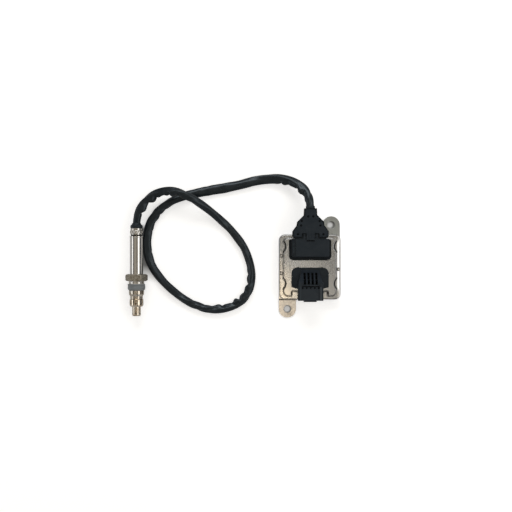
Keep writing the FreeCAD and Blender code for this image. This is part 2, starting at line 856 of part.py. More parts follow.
def wire_cover_front():
    """Front half, with the tongue over the header, two guide slots and eight small pits."""
    body = wire_cover_half(1)
    top_z = plug_axis_height + cover_half_height
    edge_y = cover_outline[0][1]
    cuts = []
    for side in (-1, 1):
        low, high = sorted((side * tongue_half_width, side * tongue_slot_outer_x))
        cuts.append(block(low, high, edge_y - 1, tongue_slot_end_y, top_z - cover_wall - 1, top_z))
        for x, y in cover_pits:
            cuts.append(post(side * x, y, top_z - cover_pit_depth, top_z, cover_pit_radius))
    tongue = block(-tongue_half_width, tongue_half_width, tongue_end_y, tongue_slot_end_y,
                   top_z - tongue_thickness, top_z)
    return fused([body.cut(cuts), tongue])


def wire_cover_rear():
    """Rear half, plain outside."""
    return wire_cover_half(-1)


def plug_collar():
    """Ring that holds the sleeve's end against the wire cover."""
    start = cover_outline[-1][1]
    outer = rod(V(0, start, plug_axis_height), V(0, start + plug_collar_length, plug_axis_height),
                plug_collar_radius)
    outer = outer.makeChamfer(plug_collar_edge, [e for e in outer.Edges if len(e.Vertexes) == 1])
    bore = rod(V(0, start - 1, plug_axis_height), V(0, start + plug_collar_length + 1, plug_axis_height),
               cable_radius + slip_gap)
    return outer.cut(bore)


# Lead

def rounded_path(points):
    """Straight runs joined by tangent arcs, each as large as its two runs allow."""
    corners = [V(*p) for p in points]
    edges = []
    radii = []
    start = corners[0]
    for before, corner, after in zip(corners, corners[1:], corners[2:]):
        way_in = corner.sub(before)
        way_out = after.sub(corner)
        reach = 0.45 * min(way_in.Length, way_out.Length)
        half_turn = way_in.getAngle(way_out) / 2
        radius = reach / math.tan(half_turn)
        way_in.normalize()
        way_out.normalize()
        arc_start = corner.sub(way_in * reach)
        arc_end = corner.add(way_out * reach)
        inward = way_out.sub(way_in).normalize()
        middle = corner.add(inward * (radius / math.cos(half_turn) - radius))
        edges.append(Part.LineSegment(start, arc_start).toShape())
        edges.append(Part.Arc(arc_start, middle, arc_end).toShape())
        radii.append(radius)
        start = arc_end
    edges.append(Part.LineSegment(start, corners[-1]).toShape())
    return Part.Wire(edges), radii


def sensor_cable():
    """The soft sleeve with the leads in it, as one round rod along its route."""
    path, radii = rounded_path(cable_points)
    first = V(*cable_points[0])
    way = V(*cable_points[1]).sub(first)
    ring = Part.Wire([Part.Circle(first, way, cable_radius).toShape()])
    solid = path.makePipeShell([ring], True, True)
    expected = math.pi * cable_radius ** 2 * path.Length
    print("lead: length %.1f, arc radii %s, volume share %.4f"
          % (path.Length, [round(r, 1) for r in radii], solid.Volume / expected))
    return solid


# Probe

def inner_shield():
    """Drawn tube with the rounded tip, its end hole and a ring of side holes."""
    inner = tip_radius - tip_wall
    body = turned(((0, 0), (0, tip_radius - tip_round), (tip_round * 0.3, tip_radius - tip_round * 0.3),
                   (tip_round, tip_radius), (body_shoulder_station, tip_radius),
                   (body_shoulder_station, inner), (tip_wall + tip_round * 0.5, inner),
                   (tip_wall, inner - tip_round * 0.5), (tip_wall, 0)))
    end_hole = on_probe(rod(V(0, -1, 0), V(0, tip_wall + 1, 0), tip_hole_radius))
    holes = radial_holes(tip_side_hole_station, tip_radius, tip_side_hole_radius, tip_side_hole_count)
    return body.cut([end_hole] + holes)


def radial_holes(station, reach, radius, count):
    """Drills that run outwards from the probe's axis."""
    drills = []
    for i in range(count):
        angle = 2 * math.pi * (i + 0.5) / count
        end = V((reach + 1) * math.cos(angle), station, (reach + 1) * math.sin(angle))
        drills.append(on_probe(rod(V(0, station, 0), end, radius)))
    return drills


def outer_shield():
    """Wider cap round the inner shield, with a tapered nose and gas holes."""
    inner = shield_radius - shield_wall
    bore = tip_radius + slip_gap
    nose_end = shield_start + shield_nose_length
    body = turned(((shield_start, bore), (shield_start, shield_nose_radius), (nose_end, shield_radius),
                   (shield_end, shield_radius), (shield_end, inner), (nose_end + shield_wall, inner),
                   (shield_start + shield_wall, shield_nose_radius - shield_wall),
                   (shield_start + shield_wall, bore)))
    drills = []
    for i in range(shield_hole_count):
        angle = 2 * math.pi * i / shield_hole_count
        near = V(tip_radius * math.cos(angle) * 1.1, shield_hole_station, tip_radius * math.sin(angle) * 1.1)
        far = V(2 * shield_radius * math.cos(angle), shield_hole_station, 2 * shield_radius * math.sin(angle))
        drills.append(on_probe(rod(near, far, shield_hole_radius)))
    return body.cut(drills)


def sensor_body():
    """Turned body: neck, sealing cone and collar, the journal for the nut and a spigot for the tube."""
    socket = tip_radius + slip_gap
    return turned(((shield_end, socket), (shield_end, neck_radius), (cone_start, neck_radius),
                   (collar_start, cone_radius), (nut_start - seat_gap, cone_radius),
                   (nut_start - seat_gap, tube_radius), (tube_start - slip_gap, tube_radius),
                   (tube_start - slip_gap, body_spigot_radius), (body_end, body_spigot_radius),
                   (body_end, body_bore_radius), (body_shoulder_station + seat_gap, body_bore_radius),
                   (body_shoulder_station + seat_gap, socket)))


def gland_nut():
    """Union nut that turns on the body: threaded end, turned relief and a chamfered hexagon."""
    bore = tube_radius + nut_running_gap
    turned_end = turned(((nut_start, bore), (nut_start, thread_radius - thread_chamfer),
                         (nut_start + thread_chamfer, thread_radius), (nut_thread_end, thread_radius),
                         (nut_thread_end + (thread_radius - relief_radius) / 2, relief_radius),
                         (nut_relief_end, relief_radius), (nut_relief_end, bore)))
    corners = []
    for i in range(6):
        angle = math.pi * i / 3
        corners.append(V(hexagon_circle_radius * math.cos(angle), nut_relief_end,
                         hexagon_circle_radius * math.sin(angle)))
    face = Part.Face(Part.makePolygon(corners + corners[:1]))
    hexagon = on_probe(face.extrude(V(0, nut_end - nut_relief_end, 0)))
    edge = hexagon_across_flats / 2 - 0.3
    slope = hexagon_chamfer
    envelope = turned(((nut_relief_end, bore), (nut_relief_end, edge),
                       (nut_relief_end + slope, edge + 1.8 * slope), (nut_end - slope, edge + 1.8 * slope),
                       (nut_end, edge), (nut_end, bore)))
    return hexagon.common(envelope).fuse(turned_end).removeSplitter()


def probe_tube():
    """Drawn tube that covers the contacts, with a rolled lip."""
    inner = tube_radius - tube_wall
    lip_start = tube_end - tube_lip_length
    return turned(((tube_start, inner), (tube_start, tube_radius), (lip_start - 0.6, tube_radius),
                   (lip_start, tube_lip_radius), (tube_end - 0.3, tube_lip_radius),
                   (tube_end, tube_lip_radius - 0.3), (tube_end, inner)))


def crimp_sleeve():
    """Sleeve crimped round the grommet, held in the tube's end, with a raised bead."""
    low = sleeve_bead_station - sleeve_bead_half_width
    high = sleeve_bead_station + sleeve_bead_half_width
    return turned(((sleeve_start, sleeve_bore_radius), (sleeve_start, sleeve_spigot_radius),
                   (sleeve_groove_end, sleeve_spigot_radius), (sleeve_groove_end + 0.2, sleeve_radius),
                   (low, sleeve_radius), (low + 0.6, sleeve_bead_radius), (high - 0.6, sleeve_bead_radius),
                   (high, sleeve_radius), (sleeve_end, sleeve_radius), (sleeve_end, sleeve_bore_radius)))


def probe_grommet():
    """Rubber plug in the crimp sleeve, with a hole for each lead."""
    body = turned(((grommet_start, 0), (grommet_start, sleeve_bore_radius - slip_gap),
                   (grommet_end, sleeve_bore_radius - slip_gap), (grommet_end, 0)))
    holes = [on_probe(rod(V(x, grommet_start - 1, z), V(x, grommet_end + 1, z), lead_radius + slip_gap))
             for x, z in lead_places()]
    return body.cut(holes)


def cable_boot():
    """Soft boot that carries the sleeve into the crimp sleeve."""
    bore = cable_radius + slip_gap
    spigot = sleeve_bore_radius - slip_gap
    return turned(((cable_probe_station - 0.4, bore), (cable_probe_station - 0.4, spigot),
                   (sleeve_end, spigot), (sleeve_end, boot_radius),
                   (boot_step, boot_radius), (boot_step + 0.6, boot_end_radius + 0.9),
                   (boot_end, boot_end_radius), (boot_end, bore)))


def sensing_element():
    """Flat ceramic strip from the shields to the contacts."""
    half = element_width / 2
    edge = element_thickness / 2
    return on_probe(block(-half, half, element_start, element_end, -edge, edge))


def slotted_disc(start, end, radius):
    """A round piece that the strip passes through."""
    half = element_width / 2 + slip_gap
    edge = element_thickness / 2 + slip_gap
    disc = turned(((start, 0), (start, radius), (end, radius), (end, 0)))
    return disc.cut(on_probe(block(-half, half, start - 1, end + 1, -edge, edge)))


def front_ceramic():
    """Ceramic that centres the strip behind the shields."""
    return slotted_disc(body_shoulder_station + 2 * seat_gap, front_ceramic_end, body_bore_radius - slip_gap)


def talc_seal():
    """Pressed powder that seals the strip."""
    return slotted_disc(front_ceramic_end, talc_end, body_bore_radius - slip_gap)


def rear_ceramic():
    """Ceramic that presses on the powder."""
    return slotted_disc(talc_end, rear_ceramic_end, body_bore_radius - slip_gap)


def retaining_ring():
    """Steel ring pressed into the body above the rear ceramic."""
    bore = body_bore_radius - 1.4
    return turned(((rear_ceramic_end, bore), (rear_ceramic_end, body_bore_radius - slip_gap),
                   (retaining_ring_end, body_bore_radius - slip_gap), (retaining_ring_end, bore)))


def contact_carrier():
    """Ceramic that holds the contact springs round the end of the strip."""
    outer = turned(((carrier_start, 0), (carrier_start, body_spigot_radius),
                    (carrier_end, body_spigot_radius), (carrier_end, 0)))
    half = element_width / 2 + seat_gap
    edge = spring_outer_height() + seat_gap
    return outer.cut(on_probe(block(-half, half, carrier_start - 1, carrier_end + 1, -edge, edge)))


def spring_outer_height():
    """How far from the axis the springs' backs lie."""
    return lead_row_height + spring_thickness / 2


def contact_springs():
    """Eight bowed strips that press on the element's pads."""
    touch = element_thickness / 2 + slip_gap
    back = spring_outer_height() - spring_thickness
    outline = ((carrier_start + 1.0, back), (carrier_start + 5.0, touch), (carrier_start + 9.0, back),
               (spring_end, back))
    springs = []
    for x, z in lead_places():
        side = 1 if z > 0 else -1
        inner = [V(x - spring_width / 2, s, side * h) for s, h in outline]
        outer = [V(x - spring_width / 2, s, side * (h + spring_thickness)) for s, h in reversed(outline)]
        face = Part.Face(Part.makePolygon(inner + outer + inner[:1]))
        springs.append(on_probe(face.extrude(V(spring_width, 0, 0))))
    return Part.makeCompound(springs)


def probe_leads():
    """Eight leads from the springs through the grommet to the sleeve."""
    return Part.makeCompound([on_probe(rod(V(x, spring_end + slip_gap, z),
                                           V(x, cable_probe_station - slip_gap, z), lead_radius))
                              for x, z in lead_places()])


nodes = (base_housing, front_cover, cover_gasket, circuit_board, board_screws, processor_chip,
         sensor_driver_chip, power_transistors, smoothing_capacitors,
         sensor_header, sensor_header_gasket, sensor_header_pins,
         vehicle_header, vehicle_header_gasket, vehicle_pins,
         plug_body, plug_seal, plug_terminals, plug_leads, wire_cover_front, wire_cover_rear, plug_collar,
         sensor_cable,
         inner_shield, outer_shield, sensor_body, gland_nut, probe_tube, crimp_sleeve, probe_grommet,
         cable_boot,
         sensing_element, front_ceramic, talc_seal, rear_ceramic, retaining_ring, contact_carrier,
         contact_springs, probe_leads)

os.makedirs("parts", exist_ok=True)
for make in nodes:
    shape = make()
    if len(shape.Solids) == 1:
        shape = shape.Solids[0]
    shape.exportStep("parts/%s.step" % make.__name__)
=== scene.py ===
"""Dresses the nitrogen oxide sensor: soft sleeve, threaded gland nut, and a finish for every surface."""
import bmesh
import bpy
import json
import math
import numpy as np
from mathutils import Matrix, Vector
from mathutils.bvhtree import BVHTree


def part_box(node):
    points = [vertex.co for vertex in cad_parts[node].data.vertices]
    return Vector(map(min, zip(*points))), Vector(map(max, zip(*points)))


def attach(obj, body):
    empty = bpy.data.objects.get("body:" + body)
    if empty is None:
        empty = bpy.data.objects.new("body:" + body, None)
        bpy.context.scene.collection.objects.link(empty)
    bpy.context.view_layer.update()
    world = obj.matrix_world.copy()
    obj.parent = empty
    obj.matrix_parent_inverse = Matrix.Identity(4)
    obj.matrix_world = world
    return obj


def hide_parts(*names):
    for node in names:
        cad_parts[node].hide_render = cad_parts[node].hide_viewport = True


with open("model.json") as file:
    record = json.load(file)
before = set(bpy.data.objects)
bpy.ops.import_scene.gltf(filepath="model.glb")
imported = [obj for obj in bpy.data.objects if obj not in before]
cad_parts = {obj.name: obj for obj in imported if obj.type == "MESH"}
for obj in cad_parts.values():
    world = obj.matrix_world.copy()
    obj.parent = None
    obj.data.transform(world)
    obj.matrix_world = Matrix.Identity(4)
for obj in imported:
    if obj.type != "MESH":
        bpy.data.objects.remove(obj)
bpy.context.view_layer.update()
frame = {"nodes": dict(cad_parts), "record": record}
scene = bpy.context.scene

MM = 0.001

# Camera: straight above the table, a metre up, as wide as the photograph's frame there
camera_place = (-60.2 * MM, 12.3 * MM, 1.0)
frame_width = 579.8 * MM
sensor_width = 36.0

# Lead: the part's own route from the probe's boot to the plug, in mm, but up to 1.2 mm nearer the probe where
# it lies beside it and up to 0.7 mm lower along the top
cable_radius = 4.1 * MM
cable_route = (
    (-194.0, 41.1, 11.0),
    (-194.0, 55.3, 11.0),
    (-188.4, 68.9, 11.0),
    (-178.0, 79.3, 11.5),
    (-164.4, 84.9, 14.0),
    (-149.2, 84.8, 20.3),
    (-131.5, 76.6, 20.3),
    (-114.0, 65.2, 11.0),
    (-92.5, 46.3, 4.2),
    (-75.5, 26.0, 4.2),
    (-66.5, 5.0, 4.2),
    (-64.2, -15.0, 4.2),
    (-70.5, -33.5, 4.2),
    (-85.5, -45.2, 4.2),
    (-105.3, -49.4, 4.2),
    (-126.7, -44.7, 4.2),
    (-148.2, -32.6, 4.2),
    (-168.2, -14.2, 4.2),
    (-181.4, 6.8, 4.2),
    (-184.4, 29.2, 4.2),
    (-179.5, 51.8, 4.2),
    (-165.1, 69.3, 4.2),
    (-142.5, 80.0, 4.2),
    (-112.1, 86.4, 4.2),
    (-82.0, 91.2, 4.2),
    (-57.0, 98.0, 4.2),
    (-36.0, 100.3, 6.5),
    (-18.5, 96.0, 11.0),
    (-4.8, 86.2, 16.5),
    (0.0, 72.5, 22.5),
    (0.0, 58.5, 22.5),
)
cable_ring_step = 0.7 * MM
cable_columns = 64
uv_length = 100.0 * MM
table_clearance = 0.05 * MM
lying_height = 7.0 * MM
widest_reach = 6.9 * MM

# The sleeve lies a little flat, and flatter along some stretches, as (middle's distance from the plug's end,
# reach, flatness added)
flatness = 0.06
flatness_change = 0.02
height_lost = 0.9
flat_stretches = ((93.0 * MM, 62.0 * MM, 0.22), (12.0 * MM, 20.0 * MM, 0.04), (248.0 * MM, 38.0 * MM, 0.16),
                  (150.0 * MM, 32.0 * MM, 0.12))
flat_fade = 12.0 * MM

# Folds on the inside of its bends. They start at a bend of fold_bend and are whole at full_fold_bend, in 1/m.
# fold_trough is how much of a fold's height lies below the sleeve's own radius. inner_side is how far past the
# middle the folds reach, as a share of the radius, inner_fade the power by which they fade towards there, and
# uneven_share their mean height and its spread.
fold_length = 11.5 * MM
fold_height = 3.4 * MM
fold_bend = 15.0
full_fold_bend = 27.0
fold_fade = 9.0 * MM
fold_drift = 2.4 * MM
fold_slant = 1.8 * MM
fold_sharpness = 0.75
fold_trough = 0.45
inner_side = 0.2
inner_fade = 1.3
uneven_share = (0.8, 0.55)
uneven_limits = (0.15, 1.5)

# Rings over which the bend and the sag are averaged, to each side
bend_samples = 14
sag_samples = 20

# Ridges of the wires inside, as (number round the sleeve, height, start in radians), and the slack of the
# skin over them, of which outer_slack shows on the outside of a bend
wire_ridges = ((3, 0.3 * MM, 0.0), (5, 0.16 * MM, 1.0))
ridge_twist = 2.2
slack_height = 0.16 * MM
outer_slack = 0.4

# Calmer stretches, as (middle's distance from the plug's end, reach, share of the ridges lost, share of the
# folds lost)
calm_stretches = ((145.0 * MM, 45.0 * MM, 0.75, 0.0), (220.0 * MM, 36.0 * MM, 0.3, 0.6))

# Random curves along the lead, as (seed, number of waves, longest and shortest wave)
drift_waves = (5, 6, 110 * MM, 45 * MM)
uneven_waves = (8, 6, 45 * MM, 16 * MM)
twist_waves = (21, 4, 260 * MM, 90 * MM)
slack_waves = (33, 8, 60 * MM, 14 * MM)
flat_waves = (41, 6, 90 * MM, 30 * MM)

# Gland nut, in mm
nut_columns = 192
nut_thread_rows = 80
nut_thread_radius = 10.0
nut_thread_pitch = 1.5
nut_thread_depth = 0.72
nut_thread_length = 7.4
nut_thread_chamfer = 1.7
nut_thread_runout = 0.7
nut_relief_radius = 8.6
nut_relief_length = 3.1
nut_flats = 22.0
nut_chamfer = 0.9
nut_chamfer_slope = 1.75
nut_corner_cut = 0.25
nut_bore_radius = 7.38

# The steepness of its thread's tooth, the flat at the tooth's root and the slope of the thread's end, the
# rows of points along the relief, whose last one flares, and the rows below each end of the hexagon
nut_tooth_steepness = 1.25
nut_tooth_root = 0.05
nut_runout_slope = 2.0
nut_relief_rows = (0.02, 0.15, 0.6, nut_relief_length - 0.35, nut_relief_length - 0.1)
nut_relief_flare = 0.15
nut_chamfer_rows = (0.0, 0.04, *np.linspace(0.12, nut_chamfer * 1.3, 6), nut_chamfer * 1.6)

# Rounded corners of an outline, in mm, with the longest shares of a side that they and the points beside
# them take
corner_steps = 5
least_rounding = 0.02
longest_corner_share = 0.42
support_distance = 0.06
support_share = 0.2

# Turned pieces of the probe, as (station from the tip, radius, rounding), in mm
body_outline = (
    (18.65, 4.9, 0),
    (18.65, 6.7, 0.3),
    (19.3, 7.0, 0.3),
    (22.3, 7.0, 0.3),
    (24.5, 8.4, 0.4),
    (28.55, 8.4, 0.3),
    (28.7, 7.3, 0.05),
    (51.9, 6.4, 0.1),
    (51.9, 4.7, 0.1),
    (40.0, 4.7, 0.1),
)
tube_outline = (
    (46.9, 6.46, 0),
    (46.9, 7.3, 0.2),
    (87.6, 7.3, 0.3),
    (88.0, 7.65, 0.25),
    (89.4, 7.65, 0.25),
    (89.5, 6.46, 0.1),
)
crimp_outline = (
    (82.0, 5.8, 0),
    (82.0, 6.4, 0.1),
    (90.8, 6.4, 0.3),
    (91.0, 6.65, 0.15),
    (92.3, 6.7, 0.6),
    (92.9, 7.25, 0.5),
    (95.1, 7.25, 0.5),
    (95.7, 6.7, 0.6),
    (98.0, 6.65, 0.2),
    (98.3, 6.3, 0.15),
    (98.3, 5.8, 0.05),
)
boot_outline = (
    (95.6, 4.15, 0),
    (95.6, 5.7, 0.1),
    (98.32, 5.7, 0.05),
    (98.32, 6.8, 0.4),
    (101.3, 6.85, 0.7),
    (102.3, 5.5, 0.8),
    (103.9, 4.75, 0.3),
    (104.1, 4.15, 0.05),
)

# Dimples in the crimped bead, in mm
crimp_columns = 192
crimp_dimples = 8
crimp_dimple_depth = 0.55
crimp_dimple_half_width = 1.25
crimp_dimple_half_length = 1.0
crimp_station = 94.0
crimp_bead_radius = 7.0
crimp_wall_radius = 6.2

# Collar on the plug, as (distance from its start, radius, rounding), in mm
collar_outline = (
    (0.0, 4.15, 0),
    (0.0, 5.1, 0.2),
    (2.1, 5.15, 0.5),
    (3.1, 4.6, 0.4),
    (3.1, 4.15, 0.05),
)
collar_start_y = 64.8
collar_height = 22.5

# Pressed cover, in mm
cover_half = (34.5, 36.4)
cover_corner = 6.5
cover_edge = 1.6
cover_sheet = 1.2
cover_skirt_bottom = 3.2
face_half = (cover_half[0] - cover_edge, cover_half[1] - cover_edge)
face_corner = cover_corner - cover_edge
cover_rim = 12.0
cover_rise = 3.0
plateau_half = (29.2, 32.1)
plateau_corner = 5.0
plateau_slope = (0.5, -0.6)
scallop_radius = 8.2
scallop_places = ((-35.0, -18.5), (-35.0, 23.0), (35.0, -18.5), (35.0, 23.0))
notch_half_width = 20.5
notch_half_depth = 10.0
notch_corner = 1.5
notch_top_y = -26.8
lug_places = ((-31.85, -7.0), (-31.85, 12.5), (31.85, -2.5))
cover_windows = (((-19.8, 19.8), (11.2, 25.9)), ((-17.0, 17.0), (-18.7, -4.4)))

# Line coined round its plateau's foot, and the faint waves of its sheet along X and along Y, as (mm to a
# radian, radians by which a wave the other way shifts it, mm to a radian of that wave)
foot_line_place = 0.55
foot_line_width = 0.4
foot_line_depth = 0.2
wave_height = 0.03
sheet_waves = ((9.0, 1.3, 14.0), (11.0, 0.8, 8.0))

# Painted shade in its creases: a faint share along the foot, a stronger one at its near end, thick painted
# shade in the bites and the notch, and rings round the lugs
foot_shade = 0.12
near_foot_shade = 0.4
near_foot_y = notch_top_y + 4.0
crease_shade_place = 0.1
crease_shade_width = 0.75
right_shade_shift = 0.8
bite_shade = 1.3
bite_shade_reach = 1.2
notch_shade_drop = 2.5
notch_shade_margin = 2.5
notch_shade_reach = 4.5
notch_shade_share = 0.8
lug_ring_radius = 1.5
lug_ring_width = 0.5

# Grid of its face, and the rings of its rim and skirt
cover_fine_step = 0.24
cover_coarse_step = 1.6
cover_row_step = 0.32
cover_fine_zone = 4.0
cover_notch_zone = 1.2
cover_corner_rows = 21
cover_roll_rings = 7
cover_support = 0.1
cover_inner_drop = 0.4


# Meshes

def place_object(name, data):
    """A new object of the data, in the scene."""
    made = bpy.data.objects.new(name, data)
    scene.collection.objects.link(made)
    return made


def smooth_faces(mesh):
    """Shades every face of the mesh smooth."""
    mesh.polygons.foreach_set("use_smooth", np.ones(len(mesh.polygons), dtype=bool))


def keep_values(mesh, name, domain, values):
    """Keeps a value for each point or face as an attribute of the mesh, for its material to read."""
    mesh.attributes.new(name, "FLOAT", domain).data.foreach_set("value", values.astype(np.float32))


def finish_mesh(name, points, faces, material, uv=None):
    """A smooth shaded object of points and faces. uv, a place for each point, becomes its UV map "along"."""
    mesh = bpy.data.meshes.new(name)
    mesh.from_pydata(points.reshape(-1, 3).tolist(), [], faces.tolist())
    mesh.update()
    smooth_faces(mesh)
    if uv is not None:
        layer = mesh.uv_layers.new(name="along")
        corners = np.empty(len(mesh.loops), dtype=np.int32)
        mesh.loops.foreach_get("vertex_index", corners)
        layer.data.foreach_set("uv", uv.reshape(-1, 2)[corners].astype(np.float32).ravel())
    mesh.materials.append(material)
    return place_object(name, mesh)


def grid_faces(rows, columns, closed_rows, closed_columns):
    """Quads between the rows and columns of a grid, wrapped round where it closes on itself."""
    row_count = rows if closed_rows else rows - 1
    column_count = columns if closed_columns else columns - 1
    r, c = np.meshgrid(np.arange(row_count), np.arange(column_count), indexing="ij")
    next_r = (r + 1) % rows
    next_c = (c + 1) % columns
    here, ahead = r * columns, next_r * columns
    return np.stack([here + c, here + next_c, ahead + next_c, ahead + c], -1).reshape(-1, 4)


def route_line(points):
    """The smooth line that the route's points pull along, as an array of points a short step apart."""
    curve = bpy.data.curves.new("cable_line", "CURVE")
    curve.dimensions = "3D"
    curve.resolution_u = 24
    spline = curve.splines.new("NURBS")
    spline.points.add(len(points) - 1)
    for place, point in zip(points, spline.points):
        point.co = (place[0] * MM, place[1] * MM, place[2] * MM, 1.0)
    spline.order_u = 3
    spline.use_endpoint_u = True
    guide = place_object("cable_line", curve)
    line = bpy.data.meshes.new_from_object(guide)
    places = np.empty(len(line.vertices) * 3)
    line.vertices.foreach_get("co", places)
    bpy.data.objects.remove(guide)
    bpy.data.curves.remove(curve)
    bpy.data.meshes.remove(line)
    return places.reshape(-1, 3)


def evenly_spaced(line, step):
    """The line again, with its points one step apart."""
    lengths = np.concatenate([[0], np.cumsum(np.linalg.norm(np.diff(line, axis=0), axis=1))])
    count = int(round(lengths[-1] / step)) + 1
    at = np.linspace(0, lengths[-1], count)
    return np.stack([np.interp(at, lengths, line[:, i]) for i in range(3)], axis=1)


def smoothed(values, width):
    """The values averaged with their neighbours within width samples."""
    window = np.hanning(2 * width + 1)
    window /= window.sum()
    padded = np.pad(values, width, mode="edge")
    return np.convolve(padded, window, mode="valid")


def wave_noise(u, seed, waves, longest, shortest):
    """A smooth random curve of u: a sum of sine waves with seeded lengths and starts, about -1 to 1."""
    rng = np.random.default_rng(seed)
    lengths = np.exp(rng.uniform(np.log(shortest), np.log(longest), waves))
    starts = rng.uniform(0, 2 * np.pi, waves)
    total = np.zeros_like(u)
    for length, start in zip(lengths, starts):
        total += np.sin(2 * np.pi * u / length + start)
    return total / math.sqrt(waves)


def rounded_outline(corners):
    """The outline through (along, radius, rounding) corners.

    Each corner becomes a curve of the second degree, tangent to its two sides, and a point just before and
    after it keeps the shading of the straight stretches flat.
    """
    places = np.array([(a, r) for a, r, _ in corners], dtype=float)
    points = []
    for i, (a, r, rounding) in enumerate(corners):
        here = places[i]
        back = places[i - 1] - here
        ahead = places[(i + 1) % len(corners)] - here
        back_length, ahead_length = np.linalg.norm(back), np.linalg.norm(ahead)
        back, ahead = back / back_length, ahead / ahead_length
        half_turn = math.acos(max(-1.0, min(1.0, float(back @ ahead)))) / 2
        reach = max(rounding, least_rounding) / math.tan(half_turn)
        reach = min(reach, longest_corner_share * back_length, longest_corner_share * ahead_length)
        t = np.linspace(0, 1, corner_steps + 1)[:, None]
        start, end = here + back * reach, here + ahead * reach
        arc = (1 - t) ** 2 * start + 2 * t * (1 - t) * here + t ** 2 * end
        points.append(start + back * min(support_distance, support_share * back_length))
        points.extend(arc)
        points.append(end + ahead * min(support_distance, support_share * ahead_length))
    return np.array(points)


def full_turn(columns):
    """Angles spread evenly round a full turn."""
    return np.linspace(0, 2 * np.pi, columns, endpoint=False)


def turned_piece(name, slot, angle, heights, radii, centre):
    """A closed surface turned about a line along Y, whose start is centre, in metres.

    Each row of points lies at its height along the line and at its radii from it, both in mm.
    """
    x = centre[0] + radii * MM * np.cos(angle)[None, :]
    z = centre[2] + radii * MM * np.sin(angle)[None, :]
    y = np.broadcast_to(centre[1] + heights[:, None] * MM, x.shape)
    faces = grid_faces(len(heights), len(angle), True, True)
    return finish_mesh(name, np.stack([x, y, z], -1), faces, finishes[slot])


def outward(piece):
    """Merges the piece's doubles and turns its faces outwards."""
    work = bmesh.new()
    work.from_mesh(piece.data)
    bmesh.ops.remove_doubles(work, verts=work.verts, dist=1e-7)
    bmesh.ops.recalc_face_normals(work, faces=work.faces)
    work.to_mesh(piece.data)
    work.free()
    smooth_faces(piece.data)


def dress(piece, node, body="sensor"):
    """Puts the finished piece on its body in place of the part's own node."""
    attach(piece, body)
    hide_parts(node)


# Materials

def new_group(name, inputs, outputs):
    """A node group with named inputs, (name, kind, value) each, and named outputs, (name, kind) each."""
    tree = bpy.data.node_groups.new(name, "ShaderNodeTree")
    for label, kind, value in inputs:
        socket = tree.interface.new_socket(name=label, in_out="INPUT", socket_type="NodeSocket" + kind)
        socket.default_value = value
    for label, kind in outputs:
        tree.interface.new_socket(name=label, in_out="OUTPUT", socket_type="NodeSocket" + kind)
    return tree, tree.nodes.new("NodeGroupInput"), tree.nodes.new("NodeGroupOutput")


def add(tree, kind, values=None, **settings):
    """A node with its settings and its input values."""
    made = tree.nodes.new("ShaderNode" + kind)
    for key, value in settings.items():
        setattr(made, key, value)
    for key, value in (values or {}).items():
        made.inputs[key].default_value = value
    return made


def feed(tree, value, socket):
    """Links the value to the socket if it is a socket too, and sets it there otherwise."""
    if isinstance(value, bpy.types.NodeSocket):
        tree.links.new(value, socket)
    else:
        socket.default_value = value


def math_node(tree, operation, first, second=0.0, clamp=False):
    """A Math node on two sockets or numbers."""
    made = add(tree, "Math", operation=operation, use_clamp=clamp)
    feed(tree, first, made.inputs[0])
    feed(tree, second, made.inputs[1])
    return made.outputs[0]


def mix(tree, share, first, second, kind="Color", blend="MIX"):
    """A mix of two sockets or values: of colours or, for the kind Float, of numbers."""
    made = add(tree, "Mix", data_type="RGBA" if kind == "Color" else "FLOAT", blend_type=blend)
    for name, value in (("Factor_Float", share), ("A_" + kind, first), ("B_" + kind, second)):
        feed(tree, value, next(s for s in made.inputs if s.identifier == name))
    return next(s for s in made.outputs if s.identifier == "Result_" + kind)


def place_group(tree, group, values):
    """The group's node in the tree, with its input values."""
    made = tree.nodes.new("ShaderNodeGroup")
    made.node_tree = group
    for key, value in values.items():
        made.inputs[key].default_value = value
    return made


def object_place(tree):
    """The place on the piece, as its Object coordinates."""
    return add(tree, "TexCoord").outputs["Object"]


def object_noise(tree, scale, stretch=(1, 1, 1), detail=4.0, roughness=0.6):
    """Noise on Object coordinates. scale and stretch are sockets or values."""
    mapping = add(tree, "Mapping")
    tree.links.new(object_place(tree), mapping.inputs["Vector"])
    feed(tree, stretch, mapping.inputs["Scale"])
    noise = add(tree, "TexNoise", {"Detail": detail, "Roughness": roughness})
    tree.links.new(mapping.outputs["Vector"], noise.inputs["Vector"])
    feed(tree, scale, noise.inputs["Scale"])
    return noise.outputs["Fac"]


def spread(tree, value, low, high, to_low=0.0, to_high=1.0):
    """Maps low..high to to_low..to_high, held at the ends. All are sockets or numbers."""
    made = add(tree, "MapRange")
    given = {"Value": value, "From Min": low, "From Max": high, "To Min": to_low, "To Max": to_high}
    for name, number in given.items():
        feed(tree, number, made.inputs[name])
    return made.outputs["Result"]


def soft_band(tree, value, middle, half_width, softness, ragged=0.0):
    """A mask of 1 where the value is within half_width of middle, soft at its ends, which ragged moves."""
    off = math_node(tree, "ABSOLUTE", math_node(tree, "SUBTRACT", value, middle))
    inside = math_node(tree, "SUBTRACT", half_width, off)
    share = math_node(tree, "ADD", math_node(tree, "DIVIDE", inside, softness), 0.5)
    return math_node(tree, "ADD", share, ragged, True)


finish_outputs = (("Colour", "Color"), ("Roughness", "Float"), ("Normal", "Vector"))


def give_finish(tree, given, out, colour, unevenness, grain, bump_distance):
    """Feeds a finish group's outputs: its colour, its roughness made uneven, and a normal from its grain."""
    tree.links.new(colour, out.inputs["Colour"])
    rough = math_node(tree, "MULTIPLY", unevenness, given.outputs["Roughness Spread"])
    tree.links.new(math_node(tree, "ADD", rough, given.outputs["Roughness"], True), out.inputs["Roughness"])
    bump = add(tree, "Bump", {"Distance": bump_distance})
    tree.links.new(given.outputs["Grain Depth"], bump.inputs["Strength"])
    tree.links.new(grain, bump.inputs["Height"])
    tree.links.new(bump.outputs["Normal"], out.inputs["Normal"])


